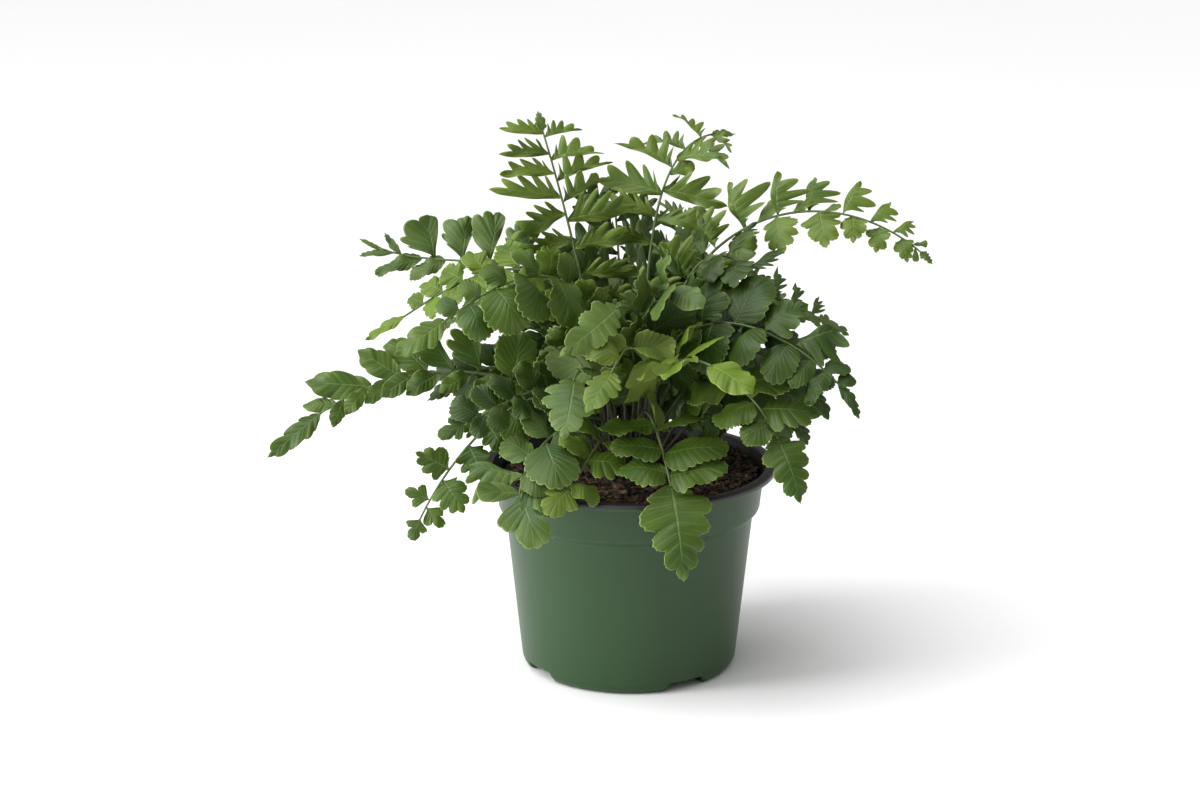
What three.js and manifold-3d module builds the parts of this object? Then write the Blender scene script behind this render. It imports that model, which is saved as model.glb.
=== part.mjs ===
// A potted fern: arching compound leaves on a scaly crown, rooted in potting mix in a 6 inch
// nursery pot. Millimetres, +Z up. The origin is the centre of the pad under the pot, and the
// fern's fullest side looks along -Y.
import * as THREE from "three";
import { mergeVertices } from "three/addons/utils/BufferGeometryUtils.js";
import Module from "manifold-3d";

const wasm = await Module();
wasm.setup();

// Points closer than this are the same corner.
const WELD = 1e-4;

// Pot, injection moulded: a thin wall under a band and a flat rolled lip.
const POT_HEIGHT = 108;
const LIP_RADIUS = 76.2;
const LIP_INNER_RADIUS = 70.6;
const LIP_THICKNESS = 3.6;
const LIP_EDGE = 1;
const BAND_TOP_RADIUS = 69.8;
const BAND_BOTTOM_RADIUS = 67.7;
const BAND_BOTTOM = 85.5;
const SHOULDER_HEIGHT = 4;
const SHOULDER_FOOT = BAND_BOTTOM - SHOULDER_HEIGHT;
const WALL_TOP_RADIUS = 64.2;
const WALL_BOTTOM_RADIUS = 56.2;
const FOOT_RADIUS = 50.8;
const FOOT_ROUNDING = 6.5;
const WALL = 1.2;
const POT_SEGMENTS = 36;

// Four drainage channels run under the pot, from the centre pad out to a notch in the foot.
const NOTCH_HEADINGS = [-148, -58, 32, 122];
const PAD_RADIUS = 19;
const CHANNEL_WIDTH = 22;
const CHANNEL_HEIGHT = 5;
const DRAIN_HOLE_RADIUS = 4.5;
const DRAIN_HOLE_FROM_CENTRE = 46;
const DRAIN_HOLE_SEGMENTS = 16;

// Potting mix and the crown (a short upright rhizome) set in it.
const GAP = 0.3;
const MIX_EDGE_HEIGHT = 101;
const MIX_EDGE_FALL = 0.8;
const MIX_EDGE_WIDTH = 8;
const MIX_MIDDLE_HEIGHT = 99.5;
const CROWN_RADIUS = 19;
const CROWN_TOP = 103.5;
const CROWN_BOTTOM = 93;
const CROWN_FOOT_ROUNDING = 3;
const CROWN_TOP_ROUNDING = [2, 4];
const STALK_FOOT = CROWN_TOP + 0.6;

// Fronds: a stalk of square section that carries thin leaflets in two rows and ends in one larger leaf.
const STALK_HALF_WIDTH = 0.7;
const BARE_STEPS = 5;
const SHORTEST_STEP = 0.5;
const LEAFLET_BASE = 2.4;
const LEAFLET_THICKNESS = 0.6;
const LEAFLET_CLEARANCE = 0.4;
const LEAFLET_LIFT = 6;
const LEAFLET_TWIST = 16;
const END_LEAF_LIFT = 0.17;

// Each leaflet kind is an outline for a length of 1, from the edge away from the frond's tip, round
// the leaflet's end, to the edge towards the tip. Lean is how far leaflets in an even row lean
// towards the tip, in degrees, at its first leaflet and at its last.
const LEAFLETS = {
  round: {
    lean: [5, 30],
    outline: [[0.15, -0.27], [0.7, -0.38], [1, 0.02], [0.72, 0.42], [0.14, 0.33]],
  },
  oblong: { lean: [0, 25], outline: [[0.2, -0.22], [0.95, -0.16], [0.95, 0.1], [0.15, 0.28]] },
  oval: { lean: [38, 60], outline: [[0.42, -0.21], [1, -0.03], [0.78, 0.17], [0.32, 0.21]] },
  oak: { lean: [8, 30], outline: [[0.2, -0.38], [0.65, -0.3], [1, 0], [0.6, 0.34], [0.18, 0.42]] },
  fingers: { lean: [5, 20], outline: [[0.6, -0.08], [1, 0.06], [0.68, 0.52], [0.2, 0.36]] },
  cut: { lean: [0, 22], outline: [[0.5, -0.13], [1, -0.1], [0.6, 0.2], [0.2, 0.18]] },
  arch: { lean: [18, 12], outline: [[0.55, -0.21], [1, -0.42], [0.62, 0.1], [0.22, 0.24]] },
  fan: { lean: [0, 20], outline: [[0.8, -0.12], [1, 0], [0.8, 0.44], [0.32, 0.38]] },
  crinkle: {
    lean: [10, 35],
    outline: [[0.22, -0.36], [0.8, -0.3], [1, 0], [0.7, 0.36], [0.2, 0.4]],
  },
  tab: { lean: [55, 65], outline: [[0.75, -0.22], [1, 0], [0.75, 0.23]] },
  plume: {
    lean: [0, 0],
    outline: [[0.2, -0.35], [0.6, -0.3], [1, -0.04], [0.62, 0.26], [0.24, 0.34]],
  },
  trefoil: {
    lean: [0, 0],
    outline: [[0.34, -0.45], [0.9, -0.23], [1, 0], [0.9, 0.23], [0.36, 0.45]],
  },
  lance: { lean: [0, 0], outline: [[0.4, -0.2], [1, -0.06], [0.42, 0.21]] },
};

// A row of like leaflets, evenly spaced from the end of the bare stalk and shorter towards the tip.
const ROW_END = 0.9;
const TAPER_POWER = 1.3;
function even(kind, count, longest, bare, taper, shift = 0) {
  const [first, last] = LEAFLETS[kind].lean;
  return Array.from({ length: count }, (_, number) => {
    const out = number / count;
    const share = bare + ((ROW_END - bare) * (number + shift)) / count;
    return [share, kind, longest * (1 - taper * out ** TAPER_POWER), first + (last - first) * out];
  });
}

const POT_GREEN = 0x4b6145;
const POT_ROUGHNESS = 0.4;
const MIX_BROWN = 0x2b1f18;
const MIX_ROUGHNESS = 0.95;
const CROWN_BROWN = 0x33231a;
const CROWN_ROUGHNESS = 0.9;
const LEAF_ROUGHNESS = 0.55;
const TONES = {
  deep: 0x3c5526,
  mid: 0x567038,
  fresh: 0x68863a,
  bright: 0x7c9a3c,
  blue: 0x5a7848,
  pale: 0x7b9460,
};

// Each frond: its path leaves the crown at an X and Y, passes two points a third and two thirds of
// the way along, and ends at its tip. Face is the way its upper side looks, and droop how far its
// leaflets hang, in degrees. End is its end leaf: kind, length and breadth. The leaflets on its
// right and left each have their share of the stalk's length, kind, length, lean towards the tip in
// degrees and, where it isn't 1, breadth.
const FRONDS = [
  {
    name: "left_broad",
    tone: "mid",
    path: [[-10, -4], [-25, -22, 200], [-64, -50, 213], [-114, -70, 181]],
    face: [0, -1, 0.9],
    droop: 34,
    end: ["lance", 30, 1.2],
    right: [
      [0.42, "round", 17, 10],
      [0.52, "round", 18, 14],
      [0.61, "round", 18, 18],
      [0.69, "round", 17, 20],
      [0.76, "round", 15, 24],
      [0.82, "round", 13, 30],
    ],
    left: [
      [0.38, "round", 28, 0],
      [0.47, "round", 32, 0, 0.95],
      [0.56, "round", 34, 0, 0.95],
      [0.645, "round", 33, 0, 0.95],
      [0.725, "round", 30, 2, 0.95],
      [0.795, "round", 23, 10, 0.9],
    ],
  },
  {
    name: "top_left",
    tone: "fresh",
    path: [[-6, 10], [-19, 15, 174], [-33, 26, 234], [-48, 42, 284]],
    face: [0.1, -1, 0.5],
    droop: 0,
    end: ["plume", 11, 0.8],
    right: [
      [0.46, "cut", 26, 0],
      [0.54, "cut", 30, -4],
      [0.615, "cut", 33, -2],
      [0.69, "cut", 35, 2, 1.25],
      [0.74, "arch", 28, 26],
      [0.8, "arch", 28, 18],
      [0.86, "arch", 26, 14],
      [0.925, "arch", 19, 12],
      [0.968, "arch", 12, 10],
    ],
    left: [
      [0.48, "cut", 26, 0],
      [0.56, "cut", 30, 4],
      [0.635, "cut", 34, 4],
      [0.71, "cut", 31, -8, 1.3],
      [0.755, "cut", 36, 20],
      [0.82, "cut", 30, 20],
      [0.878, "cut", 28, 16],
      [0.935, "cut", 24, 26],
      [0.975, "cut", 15, 22],
    ],
  },
  {
    name: "top_right",
    tone: "fresh",
    path: [[3, 10], [8, 18, 182], [19, 42, 247], [56, 76, 266]],
    face: [0, -0.6, 1],
    droop: 0,
    end: ["plume", 15, 0.7],
    right: [
      [0.46, "cut", 26, 0],
      [0.54, "cut", 30, 0],
      [0.62, "cut", 34, 4],
      [0.7, "cut", 34, 2, 1.3],
      [0.745, "tab", 14, 40, 1.3],
      [0.79, "arch", 31, 18, 1.1],
      [0.86, "arch", 24, 22],
      [0.92, "arch", 16, 24],
    ],
    left: [
      [0.48, "cut", 28, 0],
      [0.56, "cut", 30, 4],
      [0.63, "cut", 34, 6],
      [0.69, "cut", 37, 6, 1.35],
      [0.765, "arch", 31, 16],
      [0.83, "arch", 24, 0],
      [0.89, "arch", 18, 8],
      [0.945, "arch", 12, 10],
    ],
  },
  {
    name: "right_arch",
    tone: "fresh",
    path: [[10, 5], [33, 12, 205], [92, 5, 239], [153, -10, 215]],
    face: [0, -1, 0.75],
    droop: 0,
    end: ["plume", 9, 0.8],
    right: [
      [0.4, "oak", 26, -10],
      [0.48, "oak", 27, -20],
      [0.565, "oak", 25, -30, 1.25],
      [0.645, "oak", 23, -8, 1.05],
      [0.735, "oak", 21, 12, 1.1],
      [0.805, "oak", 17, 12, 1.0],
      [0.865, "oak", 15, 15, 1.0],
      [0.915, "oak", 13, 42, 0.9],
      [0.95, "tab", 7, 40],
    ],
    left: [
      [0.42, "fingers", 24, 10],
      [0.5, "fingers", 24, 8],
      [0.575, "fingers", 26, 0, 1.3],
      [0.605, "tab", 13, 62, 1.2],
      [0.65, "fingers", 22, 0, 1.25],
      [0.68, "tab", 11, 62, 1.2],
      [0.715, "fingers", 21, 2, 1.2],
      [0.745, "tab", 9, 62],
      [0.785, "fingers", 19, 6, 1.15],
      [0.845, "fingers", 15, 12, 1.1],
      [0.895, "fingers", 12, 18],
      [0.94, "tab", 8, 50],
    ],
  },
  {
    name: "right_broad",
    tone: "deep",
    path: [[11, -6], [27, -25, 182], [74, -50, 186], [113, -72, 152]],
    face: [0, -0.9, 1],
    droop: 15,
    end: ["lance", 20, 0.8],
    right: [
      [0.36, "round", 26, 0],
      [0.44, "round", 28, 0],
      [0.525, "round", 30, -5, 1.1],
      [0.635, "round", 27, 0, 0.85],
      [0.735, "round", 26, 4, 0.8],
      [0.805, "round", 21, 10, 0.62],
      [0.855, "oblong", 21, 18, 0.8],
      [0.9, "oblong", 15, 25, 0.8],
    ],
    left: [
      [0.4, "round", 27, 10],
      [0.49, "oak", 30, 12],
      [0.58, "round", 30, 16],
      [0.665, "oak", 28, 18],
      [0.745, "fingers", 29, 30, 1.1],
      [0.79, "round", 19, 12],
      [0.845, "round", 15, 22],
      [0.89, "round", 11, 28],
    ],
  },
  {
    name: "right_low",
    tone: "mid",
    path: [[9, -10], [31, -28, 157], [58, -60, 160], [84, -91, 114]],
    face: [0.1, -1, 0.8],
    droop: 0,
    end: ["plume", 36, 0.9],
    right: [
      [0.38, "round", 25, -14],
      [0.46, "round", 26, -26],
      [0.56, "round", 26, -40],
      [0.66, "round", 23, -10],
      [0.74, "round", 19, 6],
    ],
    left: [
      [0.38, "round", 24, 10],
      [0.47, "round", 27, 20],
      [0.58, "round", 29, 34, 0.85],
      [0.69, "oak", 30, 32],
    ],
  },
  {
    name: "front_right",
    tone: "mid",
    path: [[2, -14], [8, -37, 145], [18, -73, 125], [28, -96, 76]],
    face: [0, -1, 0.6],
    droop: 0,
    end: ["plume", 49, 1.0],
    right: [
      [0.44, "oblong", 27, -16, 1.2],
      [0.55, "oblong", 26, -14, 1.3],
      [0.635, "oblong", 24, -10, 1.3],
    ],
    left: [[0.46, "oblong", 29, 8, 1.15], [0.57, "oblong", 32, 8, 1.25], [0.655, "oblong", 31, 4, 1.2]],
  },
  {
    name: "front_left",
    tone: "pale",
    path: [[-8, -12], [-21, -33, 141], [-50, -64, 126], [-45, -94, 92]],
    face: [0, -1, 0.7],
    droop: 0,
    end: ["trefoil", 31, 1.15],
    right: [
      [0.44, "round", 24, -10],
      [0.54, "round", 24, -10, 0.8],
      [0.64, "round", 23, -18, 0.85],
      [0.72, "fingers", 30, 4, 1.0],
      [0.78, "tab", 22, 12, 1.2],
    ],
    left: [
      [0.46, "round", 24, 20],
      [0.56, "round", 29, 42, 1.0],
      [0.69, "round", 18, 20],
      [0.77, "oak", 24, 12],
    ],
  },
  {
    name: "front_middle",
    tone: "fresh",
    path: [[-3, -14], [-9, -35, 136], [-25, -66, 122], [-42, -86, 106]],
    face: [0, -1, 0.8],
    droop: 0,
    end: ["trefoil", 21, 1.15],
    right: [[0.5, "round", 18, 0], [0.62, "round", 18, 0], [0.75, "round", 15, 10]],
    left: [[0.52, "round", 20, -10], [0.65, "oak", 22, -20, 1.15], [0.78, "round", 17, 14]],
  },
  {
    name: "left_lower",
    tone: "mid",
    path: [[-14, -5], [-40, -12, 146], [-79, -28, 128], [-111, -42, 79]],
    face: [0, -1, 0.5],
    droop: 0,
    end: ["trefoil", 12, 1.15],
    right: [
      [0.5, "oak", 22, 0],
      [0.585, "oak", 20, 0],
      [0.745, "oak", 19, 0],
      [0.86, "trefoil", 14, 4],
    ],
    left: [
      [0.48, "round", 20, 10],
      [0.56, "oak", 19, 10],
      [0.65, "oak", 21, 20, 1.0],
      [0.785, "oak", 20, 18, 1.1],
      [0.885, "trefoil", 13, 20],
    ],
  },
  {
    name: "left_mid",
    tone: "deep",
    path: [[-11, -9], [-33, -27, 152], [-62, -44, 152], [-96, -54, 137]],
    face: [0, -1, 0.7],
    droop: 5,
    end: ["trefoil", 16, 0.9],
    right: [
      [0.42, "round", 17, 0],
      [0.5, "round", 17, 4],
      [0.58, "round", 17, 6],
      [0.665, "round", 17, 10],
      [0.745, "round", 16, 15],
      [0.82, "round", 16, 30],
    ],
    left: [
      [0.45, "round", 15, 6],
      [0.54, "round", 16, 12],
      [0.64, "round", 16, 20, 0.85],
      [0.725, "round", 15, 34, 0.85],
      [0.8, "round", 14, 40, 0.85],
    ],
  },
  {
    name: "left_long",
    tone: "mid",
    path: [[-13, 1], [-52, -7, 150], [-118, -16, 157], [-182, -34, 118]],
    face: [0, -1, 0.8],
    droop: 0,
    end: ["lance", 35, 0.85],
    right: [
      [0.27, "round", 24, 0],
      [0.345, "round", 27, 4],
      [0.42, "fan", 28, 20],
      [0.49, "fan", 27, 30],
      [0.55, "round", 27, 36, 0.8],
      [0.615, "oval", 27, 46, 1.2],
      [0.69, "oval", 33, 64, 1.0],
      [0.785, "oval", 17, 66, 1.2],
    ],
    left: [
      [0.3, "oval", 22, 30],
      [0.375, "oval", 20, 44],
      [0.445, "oval", 19, 54, 1.1],
      [0.52, "oval", 22, 56, 1.2],
      [0.585, "oval", 20, 58, 1.2],
      [0.645, "oval", 18, 58, 1.2],
      [0.705, "oval", 17, 58, 1.1],
      [0.765, "oval", 16, 48, 1.1],
    ],
  },
  {
    name: "left_yellow",
    tone: "bright",
    path: [[-10, 5], [-36, 9, 197], [-82, 8, 203], [-135, 2, 171]],
    face: [0, -0.6, 1],
    droop: 12,
    end: ["lance", 24, 0.75],
    right: [
      [0.42, "crinkle", 19, 6],
      [0.51, "crinkle", 19, 12],
      [0.59, "crinkle", 19, 18],
      [0.66, "crinkle", 18, 24],
      [0.72, "crinkle", 17, 28],
      [0.775, "crinkle", 15, 30],
      [0.83, "crinkle", 12, 34],
    ],
    left: [
      [0.44, "crinkle", 19, 10],
      [0.53, "crinkle", 19, 18],
      [0.605, "crinkle", 19, 24],
      [0.675, "crinkle", 18, 30],
      [0.74, "crinkle", 17, 32],
      [0.795, "crinkle", 15, 36],
    ],
  },
  {
    name: "left_top",
    tone: "blue",
    path: [[-12, 7], [-34, 22, 192], [-80, 36, 206], [-142, 46, 215]],
    face: [0, -1, 0.6],
    droop: 0,
    end: ["lance", 14, 0.5],
    right: [
      [0.42, "fan", 22, 0],
      [0.51, "fan", 24, 0],
      [0.585, "fan", 25, 0],
      [0.66, "fan", 26, -8, 0.95],
      [0.73, "fan", 24, -6, 1.1],
      [0.8, "fan", 24, 12, 1.35],
      [0.885, "lance", 15, 50, 0.7],
    ],
    left: [
      [0.45, "round", 20, 20],
      [0.54, "oblong", 21, 30],
      [0.62, "oblong", 21, 45],
      [0.695, "tab", 9, 70, 1.2],
      [0.77, "oblong", 23, 60, 0.8],
      [0.83, "oblong", 27, 70, 0.6],
      [0.9, "lance", 20, 74, 0.5],
    ],
  },
  {
    name: "right_front",
    tone: "bright",
    path: [[8, -7], [14, -38, 160], [30, -75, 182], [58, -106, 173]],
    face: [0.1, -1, 1.3],
    droop: 10,
    end: ["oval", 30, 1.45],
    right: [
      [0.36, "round", 24, -10],
      [0.45, "oak", 26, -10, 0.9],
      [0.54, "round", 28, -4, 0.95],
      [0.63, "oak", 27, 0],
      [0.72, "round", 22, 10],
    ],
    left: [
      [0.4, "round", 24, 0],
      [0.49, "oak", 26, 6, 0.9],
      [0.58, "round", 26, 10, 0.9],
      [0.67, "round", 22, 16],
    ],
  },
  {
    name: "middle_droop",
    tone: "pale",
    path: [[2, -6], [9, -28, 176], [-5, -52, 203], [-33, -80, 183]],
    face: [0.1, -1, 0.9],
    droop: 10,
    end: ["plume", 44, 0.66],
    right: [
      [0.36, "round", 26, 0],
      [0.44, "round", 28, 4],
      [0.53, "round", 30, 10],
      [0.62, "round", 24, 16],
    ],
    left: [[0.38, "oak", 24, 4], [0.47, "round", 26, 8], [0.56, "oak", 24, 14]],
  },
  {
    name: "middle_front",
    tone: "fresh",
    path: [[0, -8], [2, -40, 170], [-4, -66, 183], [-20, -98, 161]],
    face: [0, -1, 1],
    droop: 10,
    end: ["lance", 28, 1.4],
    right: [
      [0.4, "round", 24, 0],
      [0.48, "round", 26, 6],
      [0.57, "oblong", 30, 12, 1.3],
      [0.66, "round", 25, 16],
      [0.74, "round", 19, 20],
    ],
    left: [
      [0.42, "round", 24, 0],
      [0.5, "round", 26, 4],
      [0.59, "round", 28, 2],
      [0.68, "round", 23, 12],
    ],
  },
  {
    name: "left_front",
    tone: "pale",
    path: [[-6, -6], [-14, -34, 158], [-26, -62, 172], [-31, -90, 146]],
    face: [-0.15, -1, 1],
    droop: 10,
    end: ["plume", 34, 1.15],
    right: [
      [0.36, "round", 26, 0],
      [0.45, "round", 28, 0],
      [0.54, "round", 30, -8],
      [0.64, "round", 26, 6],
    ],
    left: [
      [0.38, "round", 23, 0],
      [0.47, "round", 26, 4],
      [0.57, "round", 26, 8],
      [0.67, "round", 20, 20],
    ],
  },
  {
    name: "middle_back",
    tone: "deep",
    path: [[-1, 5], [-4, 22, 178], [-6, 44, 215], [-9, 62, 250]],
    face: [0, -1, 0.5],
    droop: 0,
    end: ["plume", 14, 0.9],
    right: even("fingers", 7, 33, 0.36, 0.3),
    left: even("fingers", 7, 33, 0.36, 0.3, 0.5),
  },
  {
    name: "back_rise",
    tone: "mid",
    path: [[0, 8], [14, 30, 187], [26, 56, 218], [42, 84, 226]],
    face: [0, -0.8, 1],
    droop: 0,
    end: ["plume", 18, 0.8],
    right: even("oak", 6, 28, 0.4, 0.3),
    left: even("cut", 7, 28, 0.4, 0.3, 0.5),
  },
  {
    name: "right_inner",
    tone: "deep",
    path: [[8, 1], [24, 4, 190], [45, -8, 219], [76, -28, 200]],
    face: [0, -1, 0.9],
    droop: 0,
    end: ["plume", 18, 0.8],
    right: even("oak", 6, 27, 0.4, 0.25),
    left: even("cut", 6, 28, 0.4, 0.25, 0.5),
  },
  {
    name: "middle_rise",
    tone: "pale",
    path: [[4, -4], [7, -19, 174], [16, -36, 206], [36, -60, 204]],
    face: [0, -1, 1],
    droop: 10,
    end: ["oval", 24, 1.4],
    right: even("round", 5, 26, 0.4, 0.2),
    left: even("oak", 5, 27, 0.4, 0.2, 0.5),
  },
  {
    name: "right_middle",
    tone: "deep",
    path: [[11, -3], [30, -15, 168], [66, -27, 174], [101, -38, 142]],
    face: [0, -1, 0.9],
    droop: 10,
    end: ["lance", 22, 1.1],
    right: even("round", 7, 23, 0.36, 0.3),
    left: even("round", 7, 23, 0.36, 0.3, 0.5),
  },
  {
    name: "right_under",
    tone: "deep",
    path: [[13, -1], [33, -6, 142], [60, -16, 154], [92, -22, 124]],
    face: [0, -1, 0.8],
    droop: 0,
    end: ["lance", 20, 1.1],
    right: even("round", 7, 23, 0.36, 0.3),
    left: even("round", 7, 23, 0.36, 0.3, 0.5),
  },
  {
    name: "left_under",
    tone: "deep",
    path: [[-16, 0], [-38, 3, 148], [-70, 2, 158], [-104, -2, 140]],
    face: [0, -0.7, 1],
    droop: 0,
    end: ["lance", 20, 1.1],
    right: even("round", 7, 23, 0.36, 0.3),
    left: even("round", 7, 23, 0.36, 0.3, 0.5),
  },
  {
    name: "left_behind",
    tone: "mid",
    path: [[-8, 13], [-32, 36, 180], [-66, 68, 182], [-110, 96, 150]],
    face: [0, -0.3, 1],
    droop: 0,
    end: ["plume", 24, 0.8],
    right: even("round", 7, 26, 0.4, 0.4),
    left: even("oak", 7, 26, 0.4, 0.4, 0.5),
  },
  {
    name: "right_behind",
    tone: "mid",
    path: [[10, 9], [34, 28, 184], [74, 46, 186], [118, 62, 160]],
    face: [0, -0.5, 1],
    droop: 0,
    end: ["plume", 22, 0.8],
    right: even("oak", 7, 26, 0.4, 0.4),
    left: even("cut", 7, 28, 0.4, 0.4, 0.5),
  },
  {
    name: "back_left",
    tone: "mid",
    path: [[-3, 14], [-10, 44, 182], [-26, 92, 184], [-44, 136, 146]],
    face: [0, 0, 1],
    droop: 0,
    end: ["plume", 26, 0.8],
    right: even("round", 7, 27, 0.38, 0.4),
    left: even("round", 7, 27, 0.38, 0.4, 0.5),
  },
  {
    name: "back_right",
    tone: "deep",
    path: [[5, 14], [20, 42, 174], [46, 84, 176], [72, 124, 138]],
    face: [0, 0, 1],
    droop: 0,
    end: ["plume", 26, 0.8],
    right: even("round", 7, 27, 0.38, 0.4),
    left: even("round", 7, 27, 0.38, 0.4, 0.5),
  },
  {
    name: "back_low",
    tone: "mid",
    path: [[1, 15], [2, 40, 150], [4, 74, 148], [6, 108, 106]],
    face: [0, 0.3, 1],
    droop: 0,
    end: ["plume", 26, 0.8],
    right: even("round", 6, 25, 0.4, 0.35),
    left: even("round", 6, 25, 0.4, 0.35, 0.5),
  },
  {
    name: "back_low_left",
    tone: "deep",
    path: [[-12, 10], [-34, 30, 150], [-62, 56, 146], [-88, 84, 108]],
    face: [0, 0.2, 1],
    droop: 0,
    end: ["plume", 24, 0.8],
    right: even("round", 6, 24, 0.4, 0.35),
    left: even("oak", 6, 24, 0.4, 0.35, 0.5),
  },
  {
    name: "back_low_right",
    tone: "mid",
    path: [[13, 6], [36, 26, 148], [68, 50, 146], [98, 70, 108]],
    face: [0, 0.2, 1],
    droop: 0,
    end: ["plume", 24, 0.8],
    right: even("round", 6, 24, 0.4, 0.35),
    left: even("oak", 6, 24, 0.4, 0.35, 0.5),
  },
  {
    name: "inner_left",
    tone: "deep",
    path: [[-9, 8], [-22, 20, 146], [-44, 36, 166], [-72, 52, 156]],
    face: [0, -0.6, 1],
    droop: 0,
    end: ["plume", 20, 0.9],
    right: even("round", 7, 24, 0.3, 0.3),
    left: even("round", 7, 24, 0.3, 0.3, 0.5),
  },
  {
    name: "inner_right",
    tone: "deep",
    path: [[9, 12], [20, 22, 144], [42, 38, 164], [70, 52, 152]],
    face: [0, -0.6, 1],
    droop: 0,
    end: ["plume", 20, 0.9],
    right: even("round", 7, 24, 0.3, 0.3),
    left: even("round", 7, 24, 0.3, 0.3, 0.5),
  },
  {
    name: "inner_back",
    tone: "deep",
    path: [[-4, 1], [2, 30, 144], [8, 50, 172], [14, 72, 176]],
    face: [0, -1, 0.6],
    droop: 0,
    end: ["plume", 18, 0.9],
    right: even("round", 7, 26, 0.28, 0.2),
    left: even("round", 7, 26, 0.28, 0.2, 0.5),
  },
  {
    name: "inner_rise_left",
    tone: "deep",
    path: [[-5, 7], [-12, 16, 158], [-26, 30, 192], [-48, 44, 204]],
    face: [0, -1, 0.7],
    droop: 0,
    end: ["plume", 16, 0.9],
    right: even("round", 7, 25, 0.34, 0.3),
    left: even("cut", 7, 28, 0.34, 0.3, 0.5),
  },
  {
    name: "inner_rise_right",
    tone: "deep",
    path: [[6, 11], [12, 20, 158], [27, 34, 190], [50, 48, 198]],
    face: [0, -1, 0.7],
    droop: 0,
    end: ["plume", 16, 0.9],
    right: even("oak", 7, 25, 0.34, 0.3),
    left: even("round", 7, 25, 0.34, 0.3, 0.5),
  },
  {
    name: "low_left",
    tone: "deep",
    path: [[-13, 4], [-28, 8, 126], [-50, 14, 140], [-76, 18, 124]],
    face: [0, -0.5, 1],
    droop: 0,
    end: ["plume", 16, 0.9],
    right: even("round", 6, 20, 0.34, 0.3),
    left: even("round", 6, 20, 0.34, 0.3, 0.5),
  },
  {
    name: "low_right",
    tone: "deep",
    path: [[12, 3], [28, 9, 122], [50, 17, 134], [76, 23, 117]],
    face: [0, -0.5, 1],
    droop: 0,
    end: ["plume", 16, 0.9],
    right: even("round", 6, 20, 0.34, 0.3),
    left: even("round", 6, 20, 0.34, 0.3, 0.5),
  },
  {
    name: "low_back",
    tone: "deep",
    path: [[-6, 15], [-5, 26, 122], [-4, 42, 136], [-2, 58, 138]],
    face: [0, -1, 0.4],
    droop: 0,
    end: ["plume", 18, 1.2],
    right: even("round", 7, 26, 0.2, 0.2),
    left: even("round", 7, 26, 0.2, 0.2, 0.5),
  },
];

const vector = (xyz) => new THREE.Vector3(...xyz);
const degrees = THREE.MathUtils.degToRad;

// A closed mesh as a manifold-3d solid, and back.
function toSolid(geometry) {
  const bare = geometry.clone();
  bare.deleteAttribute("normal");
  bare.deleteAttribute("uv");
  const merged = mergeVertices(bare, WELD);
  const vertProperties = merged.attributes.position.array;
  const triVerts = new Uint32Array(merged.index.array);
  return new wasm.Manifold(new wasm.Mesh({ numProp: 3, vertProperties, triVerts }));
}

function toGeometry(solid) {
  const { vertProperties, triVerts } = solid.getMesh();
  const geometry = new THREE.BufferGeometry();
  geometry.setAttribute("position", new THREE.BufferAttribute(vertProperties, 3));
  geometry.setIndex(new THREE.BufferAttribute(triVerts, 1));
  geometry.computeVertexNormals();
  return geometry;
}

// A solid turned about +Z from a profile of [radius, height] points that starts and ends on the axis.
function turned(profile, segments = POT_SEGMENTS) {
  const points = profile.map(([radius, height]) => new THREE.Vector2(radius, height));
  return toSolid(new THREE.LatheGeometry(points, segments).rotateX(Math.PI / 2));
}

// The pot's foot rounding as a quarter of an arc, from the flat foot up to the wall.
function footArc(radius, height, inset) {
  return [0, 1, 2, 3].map((step) => {
    const angle = (step / 3) * (Math.PI / 2);
    const across = WALL_BOTTOM_RADIUS - FOOT_RADIUS;
    return [
      radius - inset + across * Math.sin(angle),
      height + (FOOT_ROUNDING - inset) * (1 - Math.cos(angle)),
    ];
  });
}

// A straight bar under the pot along each notch heading, widened and raised by the given amount.
function channelBars(extra) {
  const reach = 2 * LIP_RADIUS;
  const low = -CHANNEL_HEIGHT;
  const high = CHANNEL_HEIGHT + extra;
  const start = PAD_RADIUS - extra;
  return NOTCH_HEADINGS.map((heading) => {
    const bar = new THREE.BoxGeometry(reach, CHANNEL_WIDTH + 2 * extra, high - low);
    bar.translate(start + reach / 2, 0, (high + low) / 2);
    return toSolid(bar.rotateZ(degrees(heading)));
  });
}

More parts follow.
